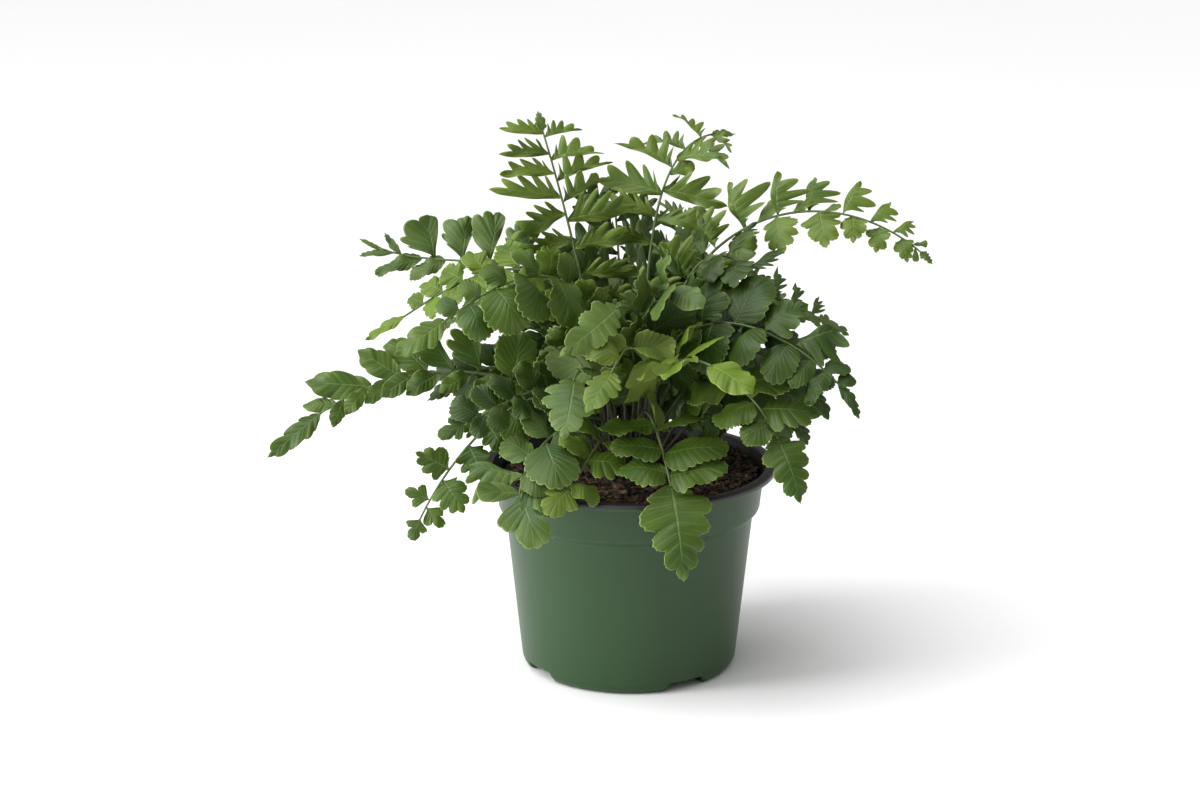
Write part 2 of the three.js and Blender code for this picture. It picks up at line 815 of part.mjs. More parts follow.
function potSolid() {
  const lipUnderside = POT_HEIGHT - LIP_THICKNESS;
  const outside = turned([
    [0, 0],
    ...footArc(FOOT_RADIUS, 0, 0),
    [WALL_TOP_RADIUS, SHOULDER_FOOT],
    [BAND_BOTTOM_RADIUS, BAND_BOTTOM],
    [BAND_TOP_RADIUS, lipUnderside],
    [LIP_RADIUS - LIP_EDGE, lipUnderside],
    [LIP_RADIUS, lipUnderside + LIP_EDGE],
    [LIP_RADIUS, POT_HEIGHT - LIP_EDGE],
    [LIP_RADIUS - LIP_EDGE, POT_HEIGHT],
    [0, POT_HEIGHT],
  ]);
  let inside = turned([
    [0, WALL],
    ...footArc(FOOT_RADIUS, WALL, WALL),
    [WALL_TOP_RADIUS - WALL, SHOULDER_FOOT + WALL / 2],
    [BAND_BOTTOM_RADIUS - WALL, BAND_BOTTOM + WALL / 2],
    [BAND_TOP_RADIUS - WALL, lipUnderside],
    [LIP_INNER_RADIUS, POT_HEIGHT - LIP_EDGE],
    [LIP_INNER_RADIUS, POT_HEIGHT + LIP_EDGE],
    [0, POT_HEIGHT + LIP_EDGE],
  ]);
  let pot = outside;
  for (const bar of channelBars(0)) pot = pot.subtract(bar);
  for (const bar of channelBars(WALL)) inside = inside.subtract(bar);
  pot = pot.subtract(inside);
  for (const heading of NOTCH_HEADINGS) {
    const radius = DRAIN_HOLE_RADIUS;
    const hole = new THREE.CylinderGeometry(radius, radius, 3 * WALL, DRAIN_HOLE_SEGMENTS);
    hole.rotateX(Math.PI / 2);
    hole.translate(DRAIN_HOLE_FROM_CENTRE, 0, CHANNEL_HEIGHT + WALL / 2);
    pot = pot.subtract(toSolid(hole.rotateZ(degrees(heading))));
  }
  return pot;
}

function pottingMixSolid() {
  const side = WALL + GAP;
  let mix = turned([
    [0, side],
    ...footArc(FOOT_RADIUS, side, side),
    [WALL_TOP_RADIUS - side - GAP, SHOULDER_FOOT + GAP],
    [BAND_BOTTOM_RADIUS - side - GAP, BAND_BOTTOM + 2 * GAP + WALL],
    [BAND_BOTTOM_RADIUS - side, MIX_EDGE_HEIGHT],
    [BAND_BOTTOM_RADIUS - MIX_EDGE_WIDTH, MIX_EDGE_HEIGHT - MIX_EDGE_FALL],
    [BAND_BOTTOM_RADIUS / 2, MIX_MIDDLE_HEIGHT],
    [0, MIX_MIDDLE_HEIGHT],
  ]);
  for (const bar of channelBars(side)) mix = mix.subtract(bar);
  const socket = [
    [0, CROWN_BOTTOM - GAP],
    [CROWN_RADIUS + GAP, CROWN_BOTTOM - GAP],
    [CROWN_RADIUS + GAP, POT_HEIGHT],
    [0, POT_HEIGHT],
  ];
  return mix.subtract(turned(socket, POT_SEGMENTS / 2));
}

function crownSolid() {
  const [inwards, down] = CROWN_TOP_ROUNDING;
  const profile = [
    [0, CROWN_BOTTOM],
    [CROWN_RADIUS - CROWN_FOOT_ROUNDING, CROWN_BOTTOM],
    [CROWN_RADIUS, CROWN_BOTTOM + CROWN_FOOT_ROUNDING],
    [CROWN_RADIUS, CROWN_TOP - down],
    [CROWN_RADIUS - inwards, CROWN_TOP],
    [0, CROWN_TOP],
  ];
  return turned(profile, POT_SEGMENTS / 2);
}

// The cubic curve through four points, met at 0, 1/3, 2/3 and 1 of the way.
function curveThrough(start, third, twoThirds, end) {
  const mix = (a, b, c, d) =>
    new THREE.Vector3()
      .addScaledVector(start, a / 6)
      .addScaledVector(third, b / 6)
      .addScaledVector(twoThirds, c / 6)
      .addScaledVector(end, d / 6);
  return new THREE.CubicBezierCurve3(start, mix(-5, 18, -9, 2), mix(2, -9, 18, -5), end);
}

// A place along the stalk, by its share of the stalk's length: the point, the stalk's direction
// there, and the blade's upper side and right-hand side.
function bladeFrame(curve, share, face) {
  const along = curve.getTangentAt(share);
  const upper = face.clone().addScaledVector(along, -face.dot(along)).normalize();
  return { point: curve.getPointAt(share), along, upper, right: along.clone().cross(upper) };
}

// The stalk's section at such a place, as its four corners.
function section({ point, upper, right }, halfWidth) {
  const corner = (across, up) =>
    point
      .clone()
      .addScaledVector(right, across * halfWidth)
      .addScaledVector(upper, up * halfWidth);
  return {
    rightTop: corner(1, 1),
    rightBottom: corner(1, -1),
    leftBottom: corner(-1, -1),
    leftTop: corner(-1, 1),
  };
}

// Faces are gathered as a list of points, three to a triangle, seen anticlockwise from outside.
function addQuad(faces, a, b, c, d) {
  faces.push(a, b, c, a, c, d);
}

// A leaf blade that grows from two edges: its upper rim runs anticlockwise from one to the other.
function addBlade(faces, flatRim, upperRim, lowerRim) {
  for (const [i, j, k] of THREE.ShapeUtils.triangulateShape(flatRim, [])) {
    faces.push(upperRim[i], upperRim[j], upperRim[k], lowerRim[k], lowerRim[j], lowerRim[i]);
  }
  for (let i = 1; i < upperRim.length; i += 1) {
    addQuad(faces, upperRim[i - 1], lowerRim[i - 1], lowerRim[i], upperRim[i]);
  }
}

// The rims of one leaf blade. Start and end are the top and bottom corners that it grows from, and
// the outline between them is laid from `point` with its X along `out` and its Y along `side`.
function bladeRims({ outline, length, point, out, side, start, end }, thickness) {
  const half = out.clone().cross(side).multiplyScalar(thickness / 2);
  const spot = ([x, y]) =>
    point.clone().addScaledVector(out, x * length).addScaledVector(side, y * length);
  const middle = outline.map(spot);
  const flat = (at) => {
    const reach = at.clone().sub(point);
    return new THREE.Vector2(reach.dot(out), reach.dot(side));
  };
  const upperRim = [start[0], ...middle.map((at) => at.clone().add(half)), end[0]];
  const lowerRim = [start[1], ...middle.map((at) => at.clone().sub(half)), end[1]];
  return [upperRim.map(flat), upperRim, lowerRim];
}

function toClosedGeometry(faces) {
  return mergeVertices(new THREE.BufferGeometry().setFromPoints(faces), WELD);
}

// Everything that a leaflet has to stay clear of, with its bounding box.
const obstacles = [];
function addObstacle(owner, solid) {
  obstacles.push({ owner, solid, box: solid.boundingBox() });
}

function isClear(owner, solid) {
  const box = solid.boundingBox();
  const apart = ({ min, max }) =>
    [0, 1, 2].some((i) => box.max[i] < min[i] || box.min[i] > max[i]);
  return obstacles.every(
    (each) => each.owner === owner || apart(each.box) || solid.intersect(each.solid).isEmpty(),
  );
}

// The space that a blade needs: a thicker copy of it, closed across its base.
function bladeSpace(blade) {
  const rims = bladeRims(blade, LEAFLET_THICKNESS + 2 * LEAFLET_CLEARANCE);
  const [, upperRim, lowerRim] = rims;
  const faces = [];
  addBlade(faces, ...rims);
  addQuad(faces, upperRim[0], upperRim.at(-1), lowerRim.at(-1), lowerRim[0]);
  return toSolid(toClosedGeometry(faces));
}

// The ways tried to keep a blade off its neighbours: turned up or down about its stalk, then
// shorter as well.
const TURNS = [0, 14, -14, 28, -28, 42, -42];
const SHRINKS = [1, 0.8, 0.62, 0.45];

// The first of the blades that `lay` makes, for each turn and length, that is clear of all that is
// already there.
function clearBlade(owner, lay) {
  for (const shrink of SHRINKS) {
    for (const turn of TURNS) {
      const blade = lay(turn, shrink);
      const space = bladeSpace(blade);
      if (isClear(owner, space)) {
        addObstacle(`${owner} blade`, space);
        return bladeRims(blade, LEAFLET_THICKNESS);
      }
    }
  }
  return null;
}

// A leaflet's outline scaled to its breadth and held off its own stalk, which it leans over.
function heldOff({ kind, length, breadth, lean }) {
  const [ahead, aside] = [Math.sin(degrees(lean)), Math.cos(degrees(lean))];
  const gap = (STALK_HALF_WIDTH + LEAFLET_CLEARANCE) / length;
  return LEAFLETS[kind].outline.map(([x, y]) => {
    const room = x * aside - gap;
    const crosses = y * breadth * ahead > room;
    return [x, crosses ? room / ahead : y * breadth];
  });
}

// One leaflet between two sections of the stalk, on the right where sign is 1 and on the left where
// it is -1.
function leafletRims(owner, frame, leaflet, droop, before, after) {
  const { sign, length } = leaflet;
  const lean = degrees(leaflet.lean);
  const outline = heldOff(leaflet).map(([x, y]) => [x, sign * y]);
  const [top, bottom] = sign > 0 ? ["rightTop", "rightBottom"] : ["leftTop", "leftBottom"];
  let start = [before[top], before[bottom]];
  let end = [after[top], after[bottom]];
  if (sign < 0) {
    outline.reverse();
    [start, end] = [end, start];
  }
  return clearBlade(owner, (turn, shrink) => {
    const lift = degrees(LEAFLET_LIFT - droop / 2 + turn);
    const sideways = frame.right.clone().multiplyScalar(sign * Math.cos(lift));
    sideways.addScaledVector(frame.upper, Math.sin(lift));
    const out = sideways.clone().multiplyScalar(Math.cos(lean));
    out.addScaledVector(frame.along, Math.sin(lean));
    const side = frame.along.clone().multiplyScalar(Math.cos(lean));
    side.addScaledVector(sideways, -Math.sin(lean));
    side.applyAxisAngle(out, sign * degrees(LEAFLET_TWIST)).multiplyScalar(sign);
    return { outline, length: length * shrink, point: frame.point, out, side, start, end };
  });
}

// The leaf that a stalk ends in, grown from the stalk's last section.
function endLeafRims(owner, { end: [kind, , breadth] }, curve, face, share) {
  const frame = bladeFrame(curve, share, face);
  const { rightTop, rightBottom, leftTop, leftBottom } = section(frame, STALK_HALF_WIDTH);
  const ahead = curve.getPoint(1).sub(frame.point);
  return clearBlade(owner, (turn, shrink) => {
    const out = ahead.clone().normalize();
    const upper = frame.upper.clone().addScaledVector(out, -frame.upper.dot(out)).normalize();
    out.addScaledVector(upper, END_LEAF_LIFT).normalize();
    const side = upper.cross(out).normalize().applyAxisAngle(out, degrees(turn));
    const outline = LEAFLETS[kind].outline.map(([x, y]) => [x, y * breadth]);
    const length = ahead.length() * shrink;
    const [start, end] = [[rightTop, rightBottom], [leftTop, leftBottom]];
    return { outline, length, point: frame.point, out, side, start, end };
  });
}

// The stalk's length is cut into steps: plain ones up to the first leaflet, then one for each
// leaflet, with a plain one in between, up to where the end leaf starts.
function stalkSteps({ right, left }, stalkLength, last) {
  const withSign = (row, sign) =>
    row.map(([share, kind, length, lean, breadth = 1]) => {
      return { share, kind, length, lean, breadth, sign };
    });
  const leaflets = [...withSign(right, 1), ...withSign(left, -1)].sort((a, b) => a.share - b.share);
  const base = LEAFLET_BASE / stalkLength;
  const shortest = SHORTEST_STEP / stalkLength;
  const bare = leaflets[0].share - base / 2;
  const steps = [];
  for (let i = 1; i <= BARE_STEPS; i += 1) {
    steps.push({ to: (bare * i) / BARE_STEPS });
  }
  let from = bare;
  for (const leaflet of leaflets) {
    let start = leaflet.share - base / 2;
    if (start < from + shortest) start = from;
    if (start + base + shortest > last) break;
    if (start > from) steps.push({ to: start });
    from = start + base;
    steps.push({ to: from, leaflet });
  }
  steps.push({ to: last });
  return steps;
}

function stalkCurve({ path: [root, third, twoThirds, tip] }) {
  return curveThrough(vector([...root, STALK_FOOT]), vector(third), vector(twoThirds), vector(tip));
}

function frondSolid({ name, frond, curve, face, last, endRims }) {
  const faces = [];
  let from = 0;
  let before = section(bladeFrame(curve, 0, face), STALK_HALF_WIDTH);
  addQuad(faces, before.rightTop, before.leftTop, before.leftBottom, before.rightBottom);
  for (const { to, leaflet } of stalkSteps(frond, curve.getLength(), last)) {
    const after = section(bladeFrame(curve, to, face), STALK_HALF_WIDTH);
    const frame = bladeFrame(curve, (from + to) / 2, face);
    const rims = leaflet ? leafletRims(name, frame, leaflet, frond.droop, before, after) : null;
    const side = rims ? leaflet.sign : 0;
    if (rims) addBlade(faces, ...rims);
    if (side <= 0) {
      addQuad(faces, before.rightTop, before.rightBottom, after.rightBottom, after.rightTop);
    }
    if (side >= 0) {
      addQuad(faces, after.leftTop, after.leftBottom, before.leftBottom, before.leftTop);
    }
    addQuad(faces, before.leftTop, before.rightTop, after.rightTop, after.leftTop);
    addQuad(faces, after.leftBottom, after.rightBottom, before.rightBottom, before.leftBottom);
    before = after;
    from = to;
  }
  addBlade(faces, ...endRims);
  return toSolid(toClosedGeometry(faces));
}

// A plain thick stalk, for the leaflets of other fronds to stay clear of.
function stalkSpace(curve) {
  const half = STALK_HALF_WIDTH + LEAFLET_CLEARANCE;
  const square = new THREE.Shape([
    new THREE.Vector2(-half, -half),
    new THREE.Vector2(half, -half),
    new THREE.Vector2(half, half),
    new THREE.Vector2(-half, half),
  ]);
  const options = { extrudePath: curve, steps: 4 * BARE_STEPS, bevelEnabled: false };
  return toSolid(new THREE.ExtrudeGeometry(square, options));
}

const fern = new THREE.Group();
function addPart(name, solid, color, roughness) {
  const material = new THREE.MeshStandardMaterial({ color, roughness, metalness: 0 });
  const mesh = new THREE.Mesh(toGeometry(solid), material);
  mesh.name = name;
  fern.add(mesh);
  addObstacle(name, solid);
}

addPart("pot", potSolid(), POT_GREEN, POT_ROUGHNESS);
addPart("potting_mix", pottingMixSolid(), MIX_BROWN, MIX_ROUGHNESS);
addPart("crown", crownSolid(), CROWN_BROWN, CROWN_ROUGHNESS);

// Stalks are placed first, then the leaves at their ends, and last the leaflets in between.
const stalks = FRONDS.map((frond) => {
  const name = `frond_${frond.name}`;
  const curve = stalkCurve(frond);
  addObstacle(name, stalkSpace(curve));
  const last = 1 - frond.end[1] / curve.getLength();
  return { name, frond, curve, face: vector(frond.face).normalize(), last };
});
for (const stalk of stalks) {
  stalk.endRims = endLeafRims(stalk.name, stalk.frond, stalk.curve, stalk.face, stalk.last);
}
for (const stalk of stalks) {
  addPart(stalk.name, frondSolid(stalk), TONES[stalk.frond.tone], LEAF_ROUGHNESS);
}

export default fern;
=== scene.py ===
import math

import bmesh
import bpy
import numpy as np
from mathutils import Euler, Matrix, Vector
from mathutils.bvhtree import BVHTree


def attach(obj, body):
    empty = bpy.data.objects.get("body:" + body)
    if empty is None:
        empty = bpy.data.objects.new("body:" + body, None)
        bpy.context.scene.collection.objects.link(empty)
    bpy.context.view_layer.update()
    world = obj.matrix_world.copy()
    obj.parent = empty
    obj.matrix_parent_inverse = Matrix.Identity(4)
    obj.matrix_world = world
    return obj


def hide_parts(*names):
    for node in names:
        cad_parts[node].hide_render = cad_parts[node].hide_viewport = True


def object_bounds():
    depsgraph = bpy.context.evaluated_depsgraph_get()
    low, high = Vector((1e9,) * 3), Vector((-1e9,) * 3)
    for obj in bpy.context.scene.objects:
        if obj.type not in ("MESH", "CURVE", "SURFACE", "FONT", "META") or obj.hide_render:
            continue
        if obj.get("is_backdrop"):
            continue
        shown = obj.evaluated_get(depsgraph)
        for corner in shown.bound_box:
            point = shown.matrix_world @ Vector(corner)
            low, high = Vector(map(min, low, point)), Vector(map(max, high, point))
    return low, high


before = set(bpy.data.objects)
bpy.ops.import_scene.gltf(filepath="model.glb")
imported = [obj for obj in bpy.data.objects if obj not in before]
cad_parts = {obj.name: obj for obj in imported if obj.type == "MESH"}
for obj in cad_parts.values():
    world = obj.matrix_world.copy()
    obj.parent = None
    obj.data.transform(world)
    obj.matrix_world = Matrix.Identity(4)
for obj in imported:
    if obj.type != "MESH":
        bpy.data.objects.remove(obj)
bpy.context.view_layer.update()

# ---------------------------------------------------------------------------------------------------------
# Camera: a short telephoto, nearly a metre and a half in front of the plant, that looks slightly down on
# it.

CAMERA_LENS = 85
CAMERA_SENSOR = 36
CAMERA_RISE = math.radians(15.5)
CAMERA_REACH = 1.459
CAMERA_AIM = Vector((-0.0152, 0.0, 0.141))

camera_back = Vector((0, -math.cos(CAMERA_RISE), math.sin(CAMERA_RISE)))
camera_data = bpy.data.cameras.new("camera")
camera_data.lens = CAMERA_LENS
camera_data.sensor_width = CAMERA_SENSOR
camera = bpy.data.objects.new("camera", camera_data)
camera.location = CAMERA_AIM + camera_back * CAMERA_REACH
camera.rotation_mode = "QUATERNION"
camera.rotation_quaternion = (-camera_back).to_track_quat("-Z", "Y")
bpy.context.scene.collection.objects.link(camera)
bpy.context.scene.camera = camera
bpy.context.scene.view_settings.view_transform = "Standard"

# ---------------------------------------------------------------------------------------------------------
# Studio: a plain white table top in a white room, under a wide soft skylight that leans in from the left,
# with one softbox overhead and one at the left.


class Value:
    """A number, colour or vector on its way through a finish. Sums on it add Math nodes."""

    def __init__(self, finish, socket):
        self.finish = finish
        self.socket = socket

    def worked(self, operation, *others):
        numbers = dict(enumerate([self, *others]))
        return self.finish.node("ShaderNodeMath", {"operation": operation}, numbers)

    def __add__(self, other):
        return self.worked("ADD", other)

    def __sub__(self, other):
        return self.worked("SUBTRACT", other)

    def __rsub__(self, other):
        return self.finish.node("ShaderNodeMath", {"operation": "SUBTRACT"}, {0: other, 1: self})

    def __mul__(self, other):
        return self.worked("MULTIPLY", other)

    def __pow__(self, other):
        return self.worked("POWER", other)

    __radd__ = __add__
    __rmul__ = __mul__

    def most(self, other):
        return self.worked("MAXIMUM", other)

    def size(self):
        return self.worked("ABSOLUTE")

    def rise(self, low, high):
        """0 below low, 1 above high, and smooth between."""
        settings = {"interpolation_type": "SMOOTHSTEP"}
        return self.finish.node("ShaderNodeMapRange", settings, {0: self, 1: low, 2: high, 3: 0, 4: 1})


class Finish:
    """A material under construction."""

    def __init__(self, name):
        self.material = bpy.data.materials.new(name)
        self.material.use_nodes = True
        self.tree = self.material.node_tree
        self.tree.nodes.clear()

    def node(self, kind, settings, sockets, output=0):
        made = self.tree.nodes.new(kind)
        for key, setting in settings.items():
            setattr(made, key, setting)
        for key, value in sockets.items():
            if isinstance(value, Value):
                self.tree.links.new(value.socket, made.inputs[key])
            elif isinstance(value, tuple) and len(value) == 3 and made.inputs[key].type == "RGBA":
                made.inputs[key].default_value = (*value, 1)
            else:
                made.inputs[key].default_value = value
        return Value(self, made.outputs[output])

    def place(self):
        """Where a point lies, in metres."""
        return self.node("ShaderNodeTexCoord", {}, {}, "Object")

    def painted(self, name):
        """A number stored on the mesh under this name."""
        return self.node("ShaderNodeAttribute", {"attribute_name": name}, {}, "Fac")

    def noise(self, where, scale, detail=2.0, roughness=0.5, stretch=None):
        """Mottling, from 0 to 1, with this many patches a metre."""
        if stretch:
            where = self.node("ShaderNodeVectorMath", {"operation": "MULTIPLY"}, {0: where, 1: stretch})
        sockets = {"Vector": where, "Scale": scale, "Detail": detail, "Roughness": roughness}
        return self.node("ShaderNodeTexNoise", {}, sockets)

    def blend(self, share, first, second):
        """The first colour where the share is 0, the second where it is 1."""
        return self.node("ShaderNodeMix", {"data_type": "RGBA"}, {0: share, 6: first, 7: second}, 2)

    def bump(self, height, strength, reach):
        """Small relief. Its reach is in metres."""
        sockets = {"Height": height, "Strength": strength, "Distance": reach}
        return self.node("ShaderNodeBump", {}, sockets, "Normal")

    def surface(self, sockets, thin_light=None, share=0.0):
        """The finished material. Thin light is the colour that shines through a thin leaf."""
        shade = self.node("ShaderNodeBsdfPrincipled", {}, sockets)
        if thin_light:
            through = self.node("ShaderNodeBsdfTranslucent", {}, {"Color": thin_light})
            shade = self.node("ShaderNodeMixShader", {}, {0: share, 1: shade, 2: through})
        out = self.tree.nodes.new("ShaderNodeOutputMaterial")
        self.tree.links.new(shade.socket, out.inputs["Surface"])
        return self.material


def add_piece(name, points, faces, material, smooth=True):
    mesh = bpy.data.meshes.new(name)
    mesh.from_pydata(np.asarray(points).tolist(), [], faces)
    mesh.materials.append(material)
    mesh.polygons.foreach_set("use_smooth", [smooth] * len(mesh.polygons))
    mesh.update()
    piece = bpy.data.objects.new(name, mesh)
    bpy.context.scene.collection.objects.link(piece)
    return piece


TABLE_REACH = 14.0
table_finish = Finish("table_white")
table_mottle = table_finish.noise(table_finish.place(), 3.0)
table_colour = table_finish.blend(table_mottle, (0.93, 0.93, 0.93), (0.95, 0.95, 0.95))
table_white = table_finish.surface({"Base Color": table_colour, "Roughness": 0.75, "Specular IOR Level": 0.2})
table_corners = [(x * TABLE_REACH, y * TABLE_REACH, 0) for x, y in ((-1, -1), (1, -1), (1, 1), (-1, 1))]
table_top = add_piece("table_top", table_corners, [(0, 1, 2, 3)], table_white)
table_top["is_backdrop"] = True

ROOM_BRIGHTNESS = 0.42
room = bpy.data.worlds.new("white_room")
room.use_nodes = True
room.node_tree.nodes["Background"].inputs["Color"].default_value = (1.0, 1.0, 1.0, 1)
room.node_tree.nodes["Background"].inputs["Strength"].default_value = ROOM_BRIGHTNESS
bpy.context.scene.world = room

PLANT_MIDDLE = Vector((0, 0, 0.14))


def add_softbox(name, spot, size, power):
    """A softbox turned to the middle of the plant. Its size is its width and height."""
    data = bpy.data.lights.new(name, "AREA")
    data.shape = "RECTANGLE"
    data.size, data.size_y = size
    data.energy = power
    box = bpy.data.objects.new(name, data)
    box.location = spot
    box.rotation_mode = "QUATERNION"
    box.rotation_quaternion = (PLANT_MIDDLE - Vector(spot)).to_track_quat("-Z", "Y")
    bpy.context.scene.collection.objects.link(box)
    box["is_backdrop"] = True


add_softbox("softbox_overhead", (-0.5, -0.1, 1.5), (1.0, 1.0), 9)
add_softbox("softbox_left", (-1.5, -0.5, 0.6), (0.5, 1.3), 24)

SKY_BRIGHTNESS = 2.35
SKY_WIDTH = math.radians(100)
SKY_LEAN = (math.radians(10), math.radians(-38), 0)
sky = bpy.data.lights.new("skylight", "SUN")
sky.energy = SKY_BRIGHTNESS
sky.angle = SKY_WIDTH
skylight = bpy.data.objects.new("skylight", sky)
skylight.rotation_euler = SKY_LEAN
bpy.context.scene.collection.objects.link(skylight)
skylight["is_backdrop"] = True

# ---------------------------------------------------------------------------------------------------------
# Pot: a thin nursery pot, injection moulded in one piece from semi-gloss plastic, green outside and black
# inside and on its rolled lip. Four channels run under it to notches in its foot, each with a drain hole.

MM = 0.001  # sizes are in millimetres from here on, apart from a finish's

LIP_TOP = 108.0
LIP_UNDERSIDE = 104.4
WALL = 1.2
WALL_HEIGHT = 75.0
WALL_TOP_RADIUS = 64.2
WALL_FOOT_RADIUS = 56.2
FOOT_RADIUS = 50.8
FOOT_ROUNDING = 6.5
POT_TURNS = 256

PAD_RADIUS = 19.0
CHANNEL_HEADINGS = (-148, -58, 32, 122)
CHANNEL_WIDTH = 22.0
CHANNEL_HEIGHT = 5.0
CHANNEL_SIDE_SLOPE = 2.4
CHANNEL_END_SLOPE = 3.0
CHANNEL_FADE = 14.0
DRAIN_HOLE_RADIUS = 4.5
DRAIN_HOLE_FROM_CENTRE = 46.0
DRILL_HEIGHT = 5.5
DRILL_DEPTH = 6.0
CRUMBS_TOP = 106.5
CRUMBS_FADE = 3.0


def arc_points(centre, radius, start, end, count):
    turns = np.radians(np.linspace(start, end, count))
    return [(centre[0] + radius * math.cos(t), centre[1] + radius * math.sin(t)) for t in turns]


def wall_line(radius, height, shares):
    """Points up a wall that starts at this radius and height and leans out like the pot's."""
    widening = WALL_TOP_RADIUS - WALL_FOOT_RADIUS
    return [(radius + widening * t, height + WALL_HEIGHT * t) for t in shares]


def pot_outline():
    """The pot's section, from the middle of its underside out and up to the lip, and down inside. Also
    the row where the black starts."""
    foot_radii = (0.0, 8.0, 15.0, 18.0, 20.0, 23.0, 28.0, 34.0, 40.0, 44.0, 47.0)
    foot = [(r, 0.0) for r in (*foot_radii, 49.5)]
    quarter = np.radians(np.linspace(0, 90, 9))
    across = WALL_FOOT_RADIUS - FOOT_RADIUS
    rounding = [(FOOT_RADIUS + across * math.sin(t), FOOT_ROUNDING * (1 - math.cos(t))) for t in quarter]
    wall = wall_line(WALL_FOOT_RADIUS, FOOT_ROUNDING, (0.02, 0.05, 0.1, 0.3, 0.6, 0.9, 0.985, 1))
    shoulder = [(64.4, 82.0), (66.2, 84.2), (67.3, 85.2), (67.8, 86.4)]
    band = [(67.9, 87.5), (68.8, 95.0), (69.6, 102.0), (69.8, 103.6), (70.2, 104.2)]
    under_lip = [(72.0, LIP_UNDERSIDE), (75.2, LIP_UNDERSIDE)]
    lip = arc_points((75.0, 105.6), 1.2, -80, 20, 6) + [(76.2, 106.4)]
    lip += arc_points((74.8, 106.6), 1.4, 0, 90, 7) + [(73.2, LIP_TOP), (72.0, LIP_TOP)]
    lip += arc_points((71.9, 106.7), 1.3, 95, 180, 6)
    green = foot + rounding + wall + shoulder + band + under_lip + lip[:5]
    inside = [(69.2, 103.0), (68.6, 101.0), (67.4, 94.0), (66.7, 87.2), (65.4, 84.6), (63.2, 81.6)]
    inside += wall_line(WALL_FOOT_RADIUS - WALL, FOOT_ROUNDING - 0.5, (0.7, 0.4, 0.1, 0.02))
    inside += [(r - WALL, z + WALL) for r, z in reversed(rounding[:-1])]
    inside += [(r, WALL) for r in reversed(foot_radii)]
    return np.array(green + lip[5:]), np.array(inside), len(green)


def eased(share):
    """A share from 0 to 1 that starts and ends gently."""
    return share * share * (3 - 2 * share)


def channel_lift(x, y):
    """How far the drain channels raise the foot at a place."""
    lift = np.zeros_like(x)
    for heading in np.radians(CHANNEL_HEADINGS):
        ahead = x * np.cos(heading) + y * np.sin(heading)
        aside = np.abs(y * np.cos(heading) - x * np.sin(heading))
        side = 1 - np.clip((aside - CHANNEL_WIDTH / 2) / CHANNEL_SIDE_SLOPE + 0.5, 0, 1)
        end = np.clip((ahead - PAD_RADIUS) / CHANNEL_END_SLOPE + 0.5, 0, 1)
        lift = np.maximum(lift, eased(side) * eased(end))
    return lift * CHANNEL_HEIGHT


def turned_grid(outline, turns):
    """An outline turned about the plant's axis: a grid of points, one row for each of the outline's."""
    heading = np.linspace(0, 2 * np.pi, turns, endpoint=False)
    radii = outline[:, None, 0]
    heights = np.repeat(outline[:, None, 1], turns, axis=1)
    return np.stack([radii * np.cos(heading), radii * np.sin(heading), heights], axis=-1)


def ring_faces(rows, turns):
    """The faces between the rows of a turned grid."""
    faces = []
    for low in range(0, (rows - 1) * turns, turns):
        high = low + turns
        for j in range(turns):
            k = (j + 1) % turns
            faces.append((low + j, low + k, high + k, high + j))
    return faces


def weld_seams(piece):
    """Join the points that lie together, and turn all faces outwards."""
    shaping = bmesh.new()
    shaping.from_mesh(piece.data)
    bmesh.ops.remove_doubles(shaping, verts=shaping.verts, dist=1e-6)
    bmesh.ops.recalc_face_normals(shaping, faces=shaping.faces)
    shaping.to_mesh(piece.data)
    shaping.free()


def drill_pot(pot, heading):
    """Drill the drain hole in the channel with this heading."""
    turn = math.radians(heading)
    reach = DRAIN_HOLE_FROM_CENTRE
    middle = Vector((reach * math.cos(turn), reach * math.sin(turn), DRILL_HEIGHT)) * MM
    radius = DRAIN_HOLE_RADIUS * MM
    drill_mesh = bpy.data.meshes.new("drill")
    drill_shape = bmesh.new()
    bmesh.ops.create_cone(
        drill_shape, cap_ends=True, segments=32, radius1=radius, radius2=radius, depth=DRILL_DEPTH * MM,
        matrix=Matrix.Translation(middle)
    )
    drill_shape.to_mesh(drill_mesh)
    drill_shape.free()
    drill = bpy.data.objects.new("drill", drill_mesh)
    bpy.context.scene.collection.objects.link(drill)
    drilling = pot.modifiers.new("drain_hole", "BOOLEAN")
    drilling.object = drill
    drilling.operation = "DIFFERENCE"
    bpy.context.view_layer.update()
    drilled = bpy.data.meshes.new_from_object(pot.evaluated_get(bpy.context.evaluated_depsgraph_get()))
    pot.modifiers.clear()
    pot.data = drilled
    bpy.data.objects.remove(drill)


outside_outline, inside_outline, black_from = pot_outline()
outside_grid = turned_grid(outside_outline, POT_TURNS)
inside_grid = turned_grid(inside_outline, POT_TURNS)
for grid, floor in ((outside_grid, 0.0), (inside_grid, WALL)):
    lift = channel_lift(grid[..., 0], grid[..., 1])
    level = np.maximum(grid[..., 2] - floor, 0)
    share = np.clip(1 - level / CHANNEL_FADE, 0, 1)
    grid[..., 2] = floor + level + (np.hypot(lift, level) - level) * share
pot_grid = np.concatenate([outside_grid, inside_grid])

